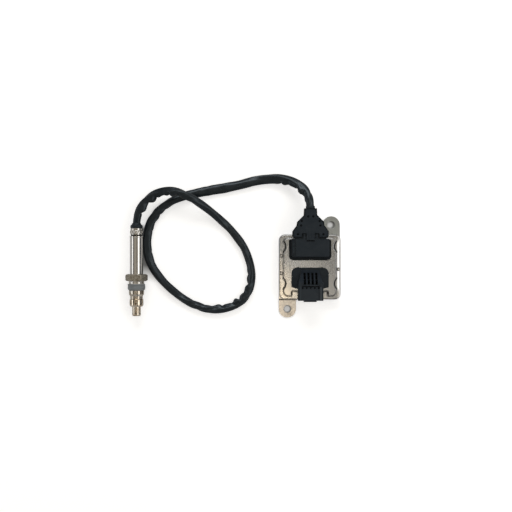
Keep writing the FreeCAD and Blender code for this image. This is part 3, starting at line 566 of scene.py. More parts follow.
def metal_finish_group():
    """Worked metal: fine grain drawn out by Stretch, cloudy dulling, and stains of a second colour."""
    tree, given, out = new_group(
        "metal finish",
        [("Colour", "Color", (0.6, 0.6, 0.6, 1)), ("Stain", "Color", (0.4, 0.35, 0.3, 1)),
         ("Stain Amount", "Float", 0.3), ("Grain Scale", "Float", 900.0), ("Stretch", "Vector", (1, 1, 1)),
         ("Cloud Scale", "Float", 60.0), ("Roughness", "Float", 0.3), ("Roughness Spread", "Float", 0.1),
         ("Grain Depth", "Float", 0.1), ("Grain Tone", "Float", 0.08)],
        finish_outputs)
    grain = object_noise(tree, given.outputs["Grain Scale"], given.outputs["Stretch"])
    cloud = object_noise(tree, given.outputs["Cloud Scale"], roughness=0.55)
    stained = spread(tree, cloud, 0.42, 0.68)
    stained = math_node(tree, "MULTIPLY", stained, given.outputs["Stain Amount"], True)
    colour = mix(tree, stained, given.outputs["Colour"], given.outputs["Stain"])
    shade = math_node(tree, "MULTIPLY", spread(tree, grain, 0.3, 0.7, -1.0, 1.0), given.outputs["Grain Tone"])
    shade = math_node(tree, "ADD", shade, 1.0)
    grey = add(tree, "CombineColor")
    for socket in grey.inputs:
        tree.links.new(shade, socket)
    colour = mix(tree, 1.0, colour, grey.outputs[0], blend="MULTIPLY")
    unevenness = math_node(tree, "ADD", spread(tree, grain, 0.3, 0.7, -0.5, 0.5),
                           spread(tree, cloud, 0.3, 0.7, -0.5, 0.5))
    give_finish(tree, given, out, colour, unevenness, grain, 0.0002)
    return tree


def moulded_grain_group():
    """Moulded plastic or rubber: fine spark-eroded grain, greyed by dust in soft clouds and specks."""
    tree, given, out = new_group(
        "moulded grain",
        [("Colour", "Color", (0.02, 0.02, 0.02, 1)), ("Dust", "Color", (0.12, 0.12, 0.12, 1)),
         ("Dust Amount", "Float", 0.2), ("Grain Scale", "Float", 2600.0), ("Roughness", "Float", 0.5),
         ("Roughness Spread", "Float", 0.12), ("Grain Depth", "Float", 0.15)],
        finish_outputs)
    grain = object_noise(tree, given.outputs["Grain Scale"], detail=2.0, roughness=0.5)
    cloud = object_noise(tree, 110.0, detail=5.0)
    specks = object_noise(tree, 900.0, detail=2.0)
    dusty = math_node(tree, "MULTIPLY", spread(tree, cloud, 0.4, 0.75), given.outputs["Dust Amount"])
    dusty = math_node(tree, "ADD", dusty, spread(tree, specks, 0.66, 0.8, 0.0, 0.25), True)
    colour = mix(tree, dusty, given.outputs["Colour"], given.outputs["Dust"])
    give_finish(tree, given, out, colour, spread(tree, cloud, 0.3, 0.7, -0.5, 0.5), grain, 0.0001)
    return tree


def region_group():
    """A mask of 1 within Half Width of Middle, measured along a direction, with a ragged edge."""
    tree, given, out = new_group(
        "region",
        [("Direction", "Vector", (0, 1, 0)), ("Middle", "Float", 0.0), ("Half Width", "Float", 0.01),
         ("Softness", "Float", 0.01), ("Raggedness", "Float", 0.2), ("Noise Scale", "Float", 90.0)],
        [("Mask", "Float")])
    along = add(tree, "VectorMath", operation="DOT_PRODUCT")
    tree.links.new(object_place(tree), along.inputs[0])
    tree.links.new(given.outputs["Direction"], along.inputs[1])
    noise = object_noise(tree, given.outputs["Noise Scale"])
    ragged = math_node(tree, "MULTIPLY", math_node(tree, "SUBTRACT", noise, 0.5), given.outputs["Raggedness"])
    band = soft_band(tree, along.outputs["Value"], given.outputs["Middle"], given.outputs["Half Width"],
                     given.outputs["Softness"], ragged)
    tree.links.new(band, out.inputs["Mask"])
    return tree


def speckle_group():
    """A mask of small specks: noise of a given scale, cut from 0 at Low to 1 at High."""
    tree, given, out = new_group(
        "speckle", [("Scale", "Float", 600.0), ("Low", "Float", 0.45), ("High", "Float", 0.6)],
        [("Mask", "Float")])
    noise = object_noise(tree, given.outputs["Scale"], detail=5.0, roughness=0.7)
    cut = spread(tree, noise, given.outputs["Low"], given.outputs["High"])
    tree.links.new(cut, out.inputs["Mask"])
    return tree


def spot_group():
    """A mask of 1 within Radius of Centre, seen from above, with a soft edge."""
    tree, given, out = new_group(
        "spot", [("Centre", "Vector", (0, 0, 0)), ("Radius", "Float", 0.005), ("Softness", "Float", 0.002)],
        [("Mask", "Float")])
    level = add(tree, "VectorMath", {1: (1.0, 1.0, 0.0)}, operation="MULTIPLY")
    tree.links.new(object_place(tree), level.inputs[0])
    away = add(tree, "VectorMath", operation="DISTANCE")
    tree.links.new(level.outputs[0], away.inputs[0])
    tree.links.new(given.outputs["Centre"], away.inputs[1])
    band = soft_band(tree, away.outputs["Value"], 0.0, given.outputs["Radius"], given.outputs["Softness"])
    tree.links.new(band, out.inputs["Mask"])
    return tree


metal_finish = metal_finish_group()
moulded_grain = moulded_grain_group()
region = region_group()
speckle = speckle_group()
spot = spot_group()


def tree_and_shader(material):
    """The material's node tree and its shader."""
    return material.node_tree, material.node_tree.nodes["Principled BSDF"]


def fed_by(socket):
    """The socket that feeds this one so far."""
    return socket.links[0].from_socket


def new_material(name, group, values, shader_values):
    """A material whose colour, roughness and normal come from a group, and the rest from its shader."""
    material = bpy.data.materials.new(name)
    material.use_nodes = True
    tree, shader = tree_and_shader(material)
    finish = place_group(tree, group, values)
    for key, value in shader_values.items():
        shader.inputs[key].default_value = value
    for given, socket in zip(finish_outputs, ("Base Color", "Roughness", "Normal")):
        tree.links.new(finish.outputs[given[0]], shader.inputs[socket])
    return material


def spot_mask(tree, x, y, radius, softness):
    """The spot group's mask for a place, radius and softness in mm."""
    values = {"Centre": (x * MM, y * MM, 0.0), "Radius": radius * MM, "Softness": softness * MM}
    return place_group(tree, spot, values).outputs["Mask"]


def strip_mask(tree, direction, low, high, softness=0.4):
    """The region group's mask from low to high, in mm, along a direction, with an even edge."""
    values = {"Direction": direction, "Middle": (low + high) / 2 * MM, "Half Width": (high - low) / 2 * MM,
              "Softness": softness * MM, "Raggedness": 0.0}
    return place_group(tree, region, values).outputs["Mask"]


def oblong_mask(tree, x0, x1, y0, y1):
    """A mask of 1 within an oblong seen from above, given by its low and high x and y in mm."""
    across, along = strip_mask(tree, (1, 0, 0), x0, x1), strip_mask(tree, (0, 1, 0), y0, y1)
    return math_node(tree, "MULTIPLY", across, along)


def recolour_oblongs(material, paler_hood_and_flank_highlights):
    """Another colour for the material within oblongs, each its low and high x and y in mm and its colour."""
    tree, shader = tree_and_shader(material)
    socket = shader.inputs["Base Color"]
    for *oblong, colour in paler_hood_and_flank_highlights:
        tree.links.new(mix(tree, oblong_mask(tree, *oblong), fed_by(socket), colour + (1,)), socket)


# Painted shade in the mouldings' deep recesses
recess_shade_black = (0.002, 0.002, 0.002, 1)
# Painted shade in the cover's creases, dark and dull
crease_shade_black = (0.015, 0.014, 0.012, 1)
crease_roughness = 0.9


def paint_recess_shade(material, attribute, amount, dots, lines):
    """Paints shade, taking colour and gloss away as deep in a moulding.

    That is where the piece's own attribute is high, at dots, (x, y, radius) each, and in lines, each the low
    and high x and y of an oblong, all in mm. A black metal has no gloss of its own.
    """
    tree, shader = tree_and_shader(material)
    colour = shader.inputs["Base Color"]
    depth = add(tree, "Attribute", attribute_name=attribute).outputs["Fac"]
    for dot in dots:
        depth = math_node(tree, "MAXIMUM", depth, spot_mask(tree, *dot, softness=0.5))
    for line in lines:
        depth = math_node(tree, "MAXIMUM", depth, oblong_mask(tree, *line))
    share = math_node(tree, "MULTIPLY", depth, amount, True)
    tree.links.new(mix(tree, share, fed_by(colour), recess_shade_black), colour)
    tree.links.new(share, shader.inputs["Metallic"])


def paint_crease_shade(material, attribute):
    """Painted shade, dark and dull, where the piece's own attribute is high."""
    tree, shader = tree_and_shader(material)
    colour, rough = shader.inputs["Base Color"], shader.inputs["Roughness"]
    share = add(tree, "Attribute", attribute_name=attribute).outputs["Fac"]
    tree.links.new(mix(tree, share, fed_by(colour), crease_shade_black), colour)
    dull = math_node(tree, "MULTIPLY", share, crease_roughness)
    tree.links.new(math_node(tree, "MAXIMUM", fed_by(rough), dull), rough)


def roll_rim(material, start, slope, middle, half_length, fade):
    """Tilts the material's normals towards +X beyond start, as if the face fell away there by slope.

    The fall is whole within half_length of middle along Y and fades out beyond it. Lengths are in mm.
    """
    tree, shader = tree_and_shader(material)
    parts = add(tree, "SeparateXYZ")
    tree.links.new(object_place(tree), parts.inputs[0])
    beyond = math_node(tree, "MAXIMUM", math_node(tree, "SUBTRACT", parts.outputs["X"], start * MM))
    off = math_node(tree, "ABSOLUTE", math_node(tree, "SUBTRACT", parts.outputs["Y"], middle * MM))
    whole = spread(tree, off, half_length * MM, (half_length + fade) * MM, 1.0, 0.0)
    fall = math_node(tree, "MULTIPLY", math_node(tree, "MULTIPLY", beyond, -slope), whole)
    bump = add(tree, "Bump", {"Strength": 1.0, "Distance": 1.0})
    tree.links.new(fall, bump.inputs["Height"])
    tree.links.new(fed_by(shader.inputs["Normal"]), bump.inputs["Normal"])
    tree.links.new(bump.outputs["Normal"], shader.inputs["Normal"])


def spaced(values):
    """The values with their names spelt as sockets."""
    return {key.replace("_", " "): value for key, value in values.items()}


def tint_region(material, value, socket="Base Color", low=-1.0, high=1.0, specks=None, **values):
    """Changes the material's colour, or another of its values, from low to high along a direction.

    specks, a scale and the two ends of a cut, limits the change to specks within the region. Lengths are in
    metres.
    """
    tree, shader = tree_and_shader(material)
    values.update(Middle=(low + high) / 2, Half_Width=(high - low) / 2)
    share = place_group(tree, region, spaced(values)).outputs["Mask"]
    if specks:
        cut = place_group(tree, speckle, dict(zip(("Scale", "Low", "High"), specks)))
        share = math_node(tree, "MULTIPLY", share, cut.outputs["Mask"])
    target = shader.inputs[socket]
    if socket == "Base Color":
        result = mix(tree, share, fed_by(target), value + (1,))
    else:
        start = fed_by(target) if target.links else target.default_value
        result = mix(tree, share, start, value, "Float")
    tree.links.new(result, target)


def metal(name, colour, roughness, **values):
    """A metal with the metal finish."""
    given = {"Colour": colour + (1,), "Roughness": roughness, **spaced(values)}
    return new_material(name, metal_finish, given, {"Metallic": 1.0})


# A pale blue gloss on the plastics and rubbers
sheen_tint = (0.8, 0.93, 1.0, 1.0)


def moulded(name, colour, roughness, specular=0.5, **values):
    """A plastic or rubber with the moulded grain."""
    given = {"Colour": colour + (1,), "Roughness": roughness, **spaced(values)}
    return new_material(name, moulded_grain, given,
                        {"Specular IOR Level": specular, "Specular Tint": sheen_tint})


finishes = {
    "cast_tray": metal("cast tray", (0.69, 0.68, 0.66), 0.30, Grain_Scale=1400.0, Cloud_Scale=150.0,
                       Stain=(0.5, 0.48, 0.44, 1), Stain_Amount=0.4, Grain_Depth=0.06, Grain_Tone=0.03,
                       Roughness_Spread=0.04),
    "cover_steel": metal("cover steel", (0.465, 0.475, 0.49), 0.28, Stretch=(1, 0.12, 1), Grain_Scale=900.0,
                         Cloud_Scale=30.0, Stain=(0.46, 0.45, 0.43, 1), Stain_Amount=0.5, Grain_Depth=0.004,
                         Grain_Tone=0.015, Roughness_Spread=0.03),
    "seal_rubber": moulded("seal rubber", (0.02, 0.02, 0.02), 0.7),
    "board": moulded("board", (0.015, 0.09, 0.03), 0.35),
    "screw_steel": metal("screw steel", (0.6, 0.6, 0.58), 0.3),
    "chip_black": moulded("chip black", (0.015, 0.015, 0.016), 0.5),
    "capacitor_can": metal("capacitor can", (0.75, 0.75, 0.75), 0.25),
    "connector_black": moulded("connector black", (0.0080, 0.0120, 0.0185), 0.42, 0.4, Dust_Amount=0.06),
    "contact_metal": metal("contact metal", (0.72, 0.66, 0.5), 0.25),
    "lead_insulation": moulded("lead insulation", (0.75, 0.75, 0.72), 0.4),
    "boot_rubber": moulded("boot rubber", (0.0070, 0.0102, 0.0142), 0.5, 0.4, Dust_Amount=0.08),
    "sleeve_black": moulded("sleeve black", (0.0062, 0.0092, 0.0128), 0.31, 0.5, Dust_Amount=0.08),
    "shield_steel": metal("shield steel", (0.80, 0.72, 0.60), 0.11, Stretch=(1, 6, 1), Grain_Scale=500.0,
                          Stain=(0.42, 0.28, 0.16, 1), Stain_Amount=0.7, Cloud_Scale=240.0,
                          Roughness_Spread=0.05, Grain_Depth=0.02),
    "body_steel": metal("body steel", (0.76, 0.71, 0.63), 0.11, Stretch=(1, 6, 1), Grain_Scale=500.0,
                        Stain=(0.32, 0.23, 0.15, 1), Stain_Amount=0.7, Cloud_Scale=260.0,
                        Roughness_Spread=0.05, Grain_Depth=0.02),
    "nut_steel": metal("nut steel", (0.8, 0.78, 0.74), 0.2, Stain=(0.3, 0.27, 0.22, 1), Grain_Scale=700.0,
                       Grain_Depth=0.3, Cloud_Scale=320.0, Stain_Amount=0.5),
    "tube_steel": metal("tube steel", (0.78, 0.765, 0.74), 0.07, Stretch=(6, 1, 6), Grain_Scale=300.0,
                        Cloud_Scale=80.0, Stain=(0.6, 0.56, 0.5, 1), Stain_Amount=0.3, Roughness_Spread=0.05,
                        Grain_Depth=0.01),
    "crimp_steel": metal("crimp steel", (0.72, 0.7, 0.66), 0.16, Cloud_Scale=250.0, Grain_Depth=0.03),
    "ceramic": moulded("ceramic", (0.8, 0.78, 0.72), 0.45),
    "talc": moulded("talc", (0.6, 0.59, 0.56), 0.8),
}

# A paler hood with painted highlights on its flanks, and painted shade in the pits of the wire cover and the
# hood, under the tongue's end and in the groove below the comb
cover_pits = ((2.75, 55.8), (9.8, 50.9), (10.6, 45.9), (14.0, 36.2))
pits = [(side * x, y, 1.15) for x, y in cover_pits for side in (-1, 1)]
pits += [(x, -22.9, 1.05) for x in (-8.8, -4.4, 0.0, 4.4, 8.8)]
edges = ((-4.3, 4.3, 28.5, 29.7), (-9.8, 9.8, -21.9, -20.8))
# Paler hood, and painted highlights on its flanks, brighter on the right
paler_hood_and_flank_highlights = ((-12.4, 12.4, -37.5, -24.5, (0.0150, 0.0190, 0.0258)),
          (-12.2, -10.5, -37.5, -22.0, (0.022, 0.027, 0.034)),
          (10.2, 12.0, -37.5, -22.0, (0.045, 0.052, 0.062)))
recolour_oblongs(finishes["connector_black"], paler_hood_and_flank_highlights)
paint_recess_shade(finishes["connector_black"], "recess", 0.9, pits, edges)

# The unit's right rim falls away; at its lower left the cover gets a painted pool of warm light and the tray
# a warm tone; its upper end is dull
roll_rim(finishes["cover_steel"], start=30.3, slope=0.29, middle=2, half_length=24, fade=8)
for slot, warm_light_and_tone in (("cover_steel", (0.84, 0.76, 0.64)), ("cast_tray", (0.62, 0.57, 0.51))):
    tint_region(finishes[slot], warm_light_and_tone, low=0.030, Direction=(-0.7, -0.7, 0), Softness=0.045, Raggedness=0.7,
                Noise_Scale=55.0)
for slot, dull in (("cover_steel", (0.5, 0.5, 0.495)), ("cast_tray", (0.57, 0.605, 0.61))):
    tint_region(finishes[slot], dull, low=0.030, Direction=(0.35, 0.94, 0), Softness=0.035, Raggedness=0.5,
                Noise_Scale=70.0)

# Places along the probe, in metres, and how far up the nut its hexagon starts, in mm
nut_low, nut_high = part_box("gland_nut")
probe_tip = ((nut_low[0] + nut_high[0]) / 2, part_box("inner_shield")[0][1], (nut_low[2] + nut_high[2]) / 2)
nut_start = (probe_tip[0], nut_low[1], probe_tip[2])
hexagon_low = nut_thread_length + nut_relief_length
hexagon_zone = {"low": nut_low[1] + hexagon_low * MM, "Softness": 0.0002, "Raggedness": 0.0}
thread_zone = {"high": nut_low[1] + nut_thread_length * MM, "Softness": 0.0012, "Raggedness": 0.8,
               "Noise_Scale": 400.0}

# Dull hexagon speckled with dirt and bare spots, and grease on the thread
for value, socket in (((0.47, 0.44, 0.37), "Base Color"), (0.4, "Roughness")):
    tint_region(finishes["nut_steel"], value, socket, **hexagon_zone)
for value, specks in (((0.2, 0.165, 0.12), (620.0, 0.46, 0.6)), ((0.7, 0.68, 0.63), (900.0, 0.54, 0.66))):
    tint_region(finishes["nut_steel"], value, specks=specks, **hexagon_zone)
for value, socket in (((0.31, 0.335, 0.35), "Base Color"), (0.55, "Roughness"), (0.3, "Metallic")):
    tint_region(finishes["nut_steel"], value, socket, **thread_zone)

# Stains and bare spots of the warm ear
for value, specks in (((0.40, 0.36, 0.31), (230.0, 0.48, 0.66)), ((0.86, 0.79, 0.68), (300.0, 0.54, 0.68))):
    tint_region(finishes["cast_tray"], value, specks=specks, high=-0.03, Softness=0.002, Raggedness=0.0)

# Painted shade darkening the cover's far edge, and a painted shadow where the ear runs under its near edge
# Dark of the painted shadow under the cover's near edge and of the dirt in the crimp's groove
dirt_and_shade_black = (0.03, 0.028, 0.025)
tint_region(finishes["cover_steel"], (0.36, 0.36, 0.355), low=35.0 * MM, Softness=0.0006, Raggedness=0.5,
            Noise_Scale=120.0)
tint_region(finishes["cast_tray"], dirt_and_shade_black, low=-37.5 * MM, high=-36.3 * MM, Softness=0.0003,
            Raggedness=0.2)

# Painted highlight on the cover's right rim, and painted shade in its creases
tint_region(finishes["cover_steel"], (0.85, 0.85, 0.84), low=31.0 * MM, Direction=(1, 0, 0), Softness=0.0012,
            Raggedness=0.5, Noise_Scale=120.0)
paint_crease_shade(finishes["cover_steel"], "crease")

# Dirt in the groove between the tube and the crimped bead
tint_region(finishes["crimp_steel"], dirt_and_shade_black, low=probe_tip[1] + 89.0 * MM, high=probe_tip[1] + 91.1 * MM,
            Softness=0.0004, Raggedness=0.3, Noise_Scale=500.0)

for row in frame["record"]["subparts"]:
    part = frame["nodes"][row["node"]]
    if not part.material_slots:
        part.data.materials.append(None)
    for holder in part.material_slots:
        holder.material = finishes[row["material_slot"]]


# Lead

def stretch_share(from_plug, middle, reach):
    """A flat-topped bell along the lead: 1 at middle, falling off at reach."""
    return np.exp(-((from_plug - middle) / reach) ** 4)


def sleeve_surface():
    """The sleeve: a tube round the route's line that gathers in folds on the inside of its bends.

    The radius at (along, round) is the sleeve's own, plus long soft ridges from the wires inside, plus
    folds whose height goes with how hard the route bends there and how near the inner side the point is.
    The ring is then made wider than it is high where the soft sleeve lies flat, and sinks with it.
    """
    line = evenly_spaced(route_line(cable_route), cable_ring_step)
    way = np.gradient(line, axis=0)
    way /= np.linalg.norm(way, axis=1)[:, None]
    side = np.cross((0.0, 0.0, 1.0), way)
    side /= np.linalg.norm(side, axis=1)[:, None]
    up = np.cross(way, side)
    heading = np.unwrap(np.arctan2(way[:, 1], way[:, 0]))
    bend = smoothed(np.gradient(heading) / cable_ring_step, bend_samples)
    along = np.arange(len(line)) * cable_ring_step
    from_plug = along[-1] - along
    from_end = np.minimum(along, from_plug)
    angle = full_turn(cable_columns)
    inward = np.sign(bend)[:, None] * np.cos(angle)[None, :]
    inner = (np.clip(inward + inner_side, 0, 1 + inner_side) / (1 + inner_side)) ** inner_fade
    hardness = np.clip((np.abs(bend) - fold_bend) / (full_fold_bend - fold_bend), 0, 1)
    hardness *= np.clip(from_end / fold_fade, 0, 1)
    warp = along + fold_drift * wave_noise(along, *drift_waves)
    turns = (warp[:, None] + fold_slant * np.sin(angle)[None, :]) / fold_length
    folds = np.sin(np.pi * (turns - np.floor(turns)) ** fold_sharpness)
    uneven = np.clip(uneven_share[0] + uneven_share[1] * wave_noise(along, *uneven_waves), *uneven_limits)
    gathers = (hardness * uneven)[:, None] * (folds - fold_trough) * inner * fold_height
    twist = angle[None, :] + ridge_twist * wave_noise(along, *twist_waves)[:, None]
    ridges = sum(height * np.sin(count * twist + start) for count, height, start in wire_ridges)
    slack = slack_height * wave_noise(along, *slack_waves)[:, None]
    uneven_skin = ridges + slack * (outer_slack + (1 - outer_slack) * inner)
    for middle, reach, skin_share, fold_share in calm_stretches:
        calm = stretch_share(from_plug, middle, reach)[:, None]
        uneven_skin = uneven_skin * (1 - skin_share * calm)
        gathers = gathers * (1 - fold_share * calm)
    radius = cable_radius + gathers + uneven_skin
    flat = flatness + flatness_change * wave_noise(along, *flat_waves)
    for middle, reach, share in flat_stretches:
        flat += share * stretch_share(from_plug, middle, reach)
    flat *= np.clip(from_end / flat_fade, 0, 1)
    wide = radius * np.cos(angle)[None, :] * (1 + flat)[:, None]
    high = radius * np.sin(angle)[None, :] * (1 - height_lost * flat)[:, None]
    too_far = np.maximum(np.hypot(wide, high) / widest_reach, 1)
    wide, high = wide / too_far, high / too_far
    sag = np.where(line[:, 2] < lying_height, height_lost * flat * cable_radius, 0)
    sag = smoothed(sag, sag_samples)
    points = line[:, None, :] + wide[:, :, None] * side[:, None, :] + high[:, :, None] * up[:, None, :]
    points[:, :, 2] -= sag[:, None]
    points[:, :, 2] = np.maximum(points[:, :, 2], table_clearance)
    uv = np.stack(np.broadcast_arrays(along[:, None] / uv_length, angle[None, :] / (2 * np.pi)), -1)
    return line, points, uv


def make_sleeve():
    """The sleeve's object, each of its ends closed by a fan of triangles round the end of the line."""
    line, points, uv = sleeve_surface()
    rings, columns = points.shape[:2]
    first_middle, last = rings * columns, (rings - 1) * columns
    turn = np.arange(columns)
    ahead = (turn + 1) % columns
    first_cap = np.stack([np.full(columns, first_middle), turn, ahead], -1)
    last_cap = np.stack([np.full(columns, first_middle + 1), last + ahead, last + turn], -1)
    faces = grid_faces(rings, columns, False, True).tolist() + first_cap.tolist() + last_cap.tolist()
    every = np.concatenate([points.reshape(-1, 3), line[[0, -1]]])
    every_uv = np.concatenate([uv.reshape(-1, 2), [[0, 0], [1, 0]]])
    faces = np.array(faces, dtype=object)
    piece = finish_mesh("soft_sleeve", every, faces, finishes["sleeve_black"], every_uv)
    dress(piece, "sensor_cable")


make_sleeve()


# Gland nut

def nut_rows():
    """The nut from its threaded end to its hexagon, as angles, heights along the axis and radii of each row.

    The thread is a tooth that winds with the angle, cut back by a cone at its start and by another at its
    end. The relief is a plain neck. The hexagon is six flats, cut back by a cone at both ends and a little
    at its corners.
    """
    angle = full_turn(nut_columns)
    thread_rows = np.linspace(0, nut_thread_length, nut_thread_rows)
    turns = thread_rows[:, None] / nut_thread_pitch - angle[None, :] / (2 * np.pi)
    tooth = np.abs(2 * (turns - np.floor(turns)) - 1)
    tooth = np.clip(tooth * nut_tooth_steepness - nut_tooth_root, 0, 1)
    thread = nut_thread_radius - nut_thread_depth * (1 - tooth)
    cone = nut_thread_radius - nut_thread_chamfer + thread_rows[:, None]
    past_runout = thread_rows[:, None] - (nut_thread_length - nut_thread_runout)
    fade = nut_thread_radius - past_runout * nut_runout_slope
    thread = np.minimum(np.minimum(thread, cone), np.minimum(fade, nut_thread_radius))
    relief_rows = nut_thread_length + np.array(nut_relief_rows)
    relief = np.full((len(relief_rows), nut_columns), nut_relief_radius)
    relief[-1] += nut_relief_flare
    hexagon_high = (nut_high[1] - nut_low[1]) / MM
    depth = np.array(nut_chamfer_rows)
    hexagon_rows = np.concatenate([hexagon_low + depth, hexagon_high - depth[::-1]])
    from_end = np.minimum(hexagon_rows - hexagon_low, hexagon_high - hexagon_rows)
    flats = nut_flats / 2 / np.cos(np.mod(angle, np.pi / 3) - np.pi / 6)
    cap = nut_flats / 2 - nut_corner_cut + nut_chamfer_slope * from_end[:, None]
    rounded = nut_flats / 2 / math.cos(math.pi / 6) - nut_corner_cut
    hexagon = np.minimum(np.minimum(flats[None, :], cap), rounded)
    bore = np.full((1, nut_columns), nut_bore_radius)
    heights = np.concatenate([[0.0], thread_rows, relief_rows, hexagon_rows, [hexagon_rows[-1]]])
    return angle, heights, np.concatenate([bore, thread, relief, hexagon, bore])


nut = turned_piece("threaded_gland_nut", "nut_steel", *nut_rows(), nut_start)
dress(nut, "gland_nut", "nut")


# Turned pieces

def make_turned(name, corners, node, slot, centre=probe_tip, columns=128):
    """A turned piece: the outline through its corners, carried round the line along Y from centre."""
    outline = rounded_outline(corners)
    piece = turned_piece(name, slot, full_turn(columns), outline[:, 0], outline[:, 1:], centre)
    outward(piece)
    dress(piece, node)


def make_crimp():
    """The crimp sleeve: turned, with a ring of oval dimples pressed into its bead.

    Each dimple lowers the radius by a bell of the distance from its middle along and round the sleeve.
    """
    outline = rounded_outline(crimp_outline)
    places = np.arange(len(outline))
    between = np.arange(0, len(outline), 0.5)
    station, radius = (np.interp(between, places, outline[:, i]) for i in range(2))
    angle = full_turn(crimp_columns)
    sector = 2 * np.pi / crimp_dimples
    off = (np.mod(angle, sector) - sector / 2) * crimp_bead_radius
    reach = ((off[None, :] / crimp_dimple_half_width) ** 2
             + ((station[:, None] - crimp_station) / crimp_dimple_half_length) ** 2)
    on_wall = (radius > crimp_wall_radius)[:, None]
    depth = np.where(on_wall, crimp_dimple_depth * np.exp(-reach ** 2), 0)
    piece = turned_piece("crimped_sleeve", "crimp_steel", angle, station, radius[:, None] - depth, probe_tip)
    outward(piece)
    dress(piece, "crimp_sleeve")


make_turned("turned_body", body_outline, "sensor_body", "body_steel")
make_turned("polished_tube", tube_outline, "probe_tube", "tube_steel")
make_turned("soft_boot", boot_outline, "cable_boot", "boot_rubber")
make_crimp()
make_turned("soft_collar", collar_outline, "plug_collar", "boot_rubber",
            (0.0, collar_start_y * MM, collar_height * MM), 96)


# Mouldings, castings and pressings whose shape is the part's own

fan_rays = 28
ray_lift = 0.02 * MM
flat_joint_angle = math.radians(1.0)
sharp_edge_angle = math.radians(20)
rounded_edge_angle = math.radians(32)
recess_floor = 0.05
upright_tilt, level_tilt = 0.05, 0.95


def blocked_shares(mesh, reach):
    """For each face of the mesh, the share of a fan of rays from it that meets the mesh within reach.

    The fan is a spiral over the half sphere round the face's normal, denser towards the normal. A face's
    share is the mean over its triangles, by area.
    """
    mesh.calc_loop_triangles()
    places = [v.co.copy() for v in mesh.vertices]
    tree = BVHTree.FromPolygons(places, [tuple(t.vertices) for t in mesh.loop_triangles])
    fan = []
    for i in range(fan_rays):
        away = math.sqrt((i + 0.5) / fan_rays)
        turn = i * math.pi * (3 - math.sqrt(5))
        fan.append(Vector((away * math.cos(turn), away * math.sin(turn), math.sqrt(1 - away * away))))
    blocked = np.zeros(len(mesh.polygons))
    whole = np.full(len(mesh.polygons), 1e-12)
    for triangle in mesh.loop_triangles:
        turned = triangle.normal.to_track_quat("Z", "Y")
        start = sum((places[i] for i in triangle.vertices), Vector()) / 3 + triangle.normal * ray_lift
        hits = sum(tree.ray_cast(start, turned @ ray, reach)[0] is not None for ray in fan)
        blocked[triangle.polygon_index] += hits / fan_rays * triangle.area
        whole[triangle.polygon_index] += triangle.area
    return blocked / whole


def soften(node, slot, width, recess_reach=0.0, recess_gain=1.5, rim_shade=0.0):
    """A copy of the part's own piece with its coplanar faces joined and its sharp edges rounded to width.

    Where recess_reach is given, the share of each face that is blocked within it, times recess_gain, is kept
    as the attribute "recess", how deep the painted shade lies there, and sloping faces have at least rim_shade
    of painted shade. Lengths are in mm.
    """
    work = bmesh.new()
    work.from_mesh(frame["nodes"][node].data)
    bmesh.ops.remove_doubles(work, verts=work.verts, dist=1e-6)
    bmesh.ops.dissolve_limit(work, angle_limit=flat_joint_angle, verts=work.verts, edges=work.edges)
    mesh = bpy.data.meshes.new("soft_" + node)
    for edge in work.edges:
        edge.smooth = edge.calc_face_angle(math.pi) < sharp_edge_angle
    work.to_mesh(mesh)
    work.free()
    smooth_faces(mesh)
    mesh.materials.clear()
    mesh.materials.append(finishes[slot])
    if recess_reach:
        recess = np.clip(recess_gain * blocked_shares(mesh, recess_reach * MM) - recess_floor, 0, 1)
        sloping = np.array([upright_tilt < abs(face.normal.z) < level_tilt for face in mesh.polygons])
        keep_values(mesh, "recess", "FACE", np.maximum(recess, rim_shade * sloping))
    piece = place_object("soft_" + node, mesh)
    rounding = piece.modifiers.new("edge rounding", "BEVEL")
    rounding.width = width * MM
    rounding.segments = 2
    rounding.limit_method = "ANGLE"
    rounding.angle_limit = rounded_edge_angle
    rounding.harden_normals = True
    rounding.use_clamp_overlap = True
    weighting = piece.modifiers.new("flat faces", "WEIGHTED_NORMAL")
    weighting.keep_sharp = True
    dress(piece, node)


soften("base_housing", "cast_tray", 0.25)
# Painted shade in the mouldings' recesses, from rays blocked nearby, and on the front wire cover's sloping rim
soften("sensor_header", "connector_black", 0.22, recess_reach=8.0)
soften("vehicle_header", "connector_black", 0.18, recess_reach=6.0, recess_gain=2.0)
soften("wire_cover_front", "connector_black", 0.18, recess_reach=4.0, recess_gain=3.0, rim_shade=0.7)
soften("wire_cover_rear", "connector_black", 0.18)
soften("outer_shield", "shield_steel", 0.12)
soften("inner_shield", "shield_steel", 0.12)


# Pressed cover

def box_distance(x, y, half_x, half_y, corner):
    """Distance from a rounded rectangle's outline, negative inside."""
    dx = np.abs(x) - (half_x - corner)
    dy = np.abs(y) - (half_y - corner)
    outside = np.hypot(np.maximum(dx, 0), np.maximum(dy, 0))
    return outside + np.minimum(np.maximum(dx, dy), 0) - corner


def plateau_distance(x, y):
    """Distance from the raised middle's outline: a rounded rectangle less four round bites and a notch."""
    distance = box_distance(x, y, plateau_half[0], plateau_half[1], plateau_corner)
    for cx, cy in scallop_places:
        distance = np.maximum(distance, scallop_radius - np.hypot(x - cx, y - cy))
    notch_y = y - (notch_top_y - notch_half_depth)
    notch = box_distance(x, notch_y, notch_half_width, notch_half_depth, notch_corner)
    return np.maximum(distance, -notch)


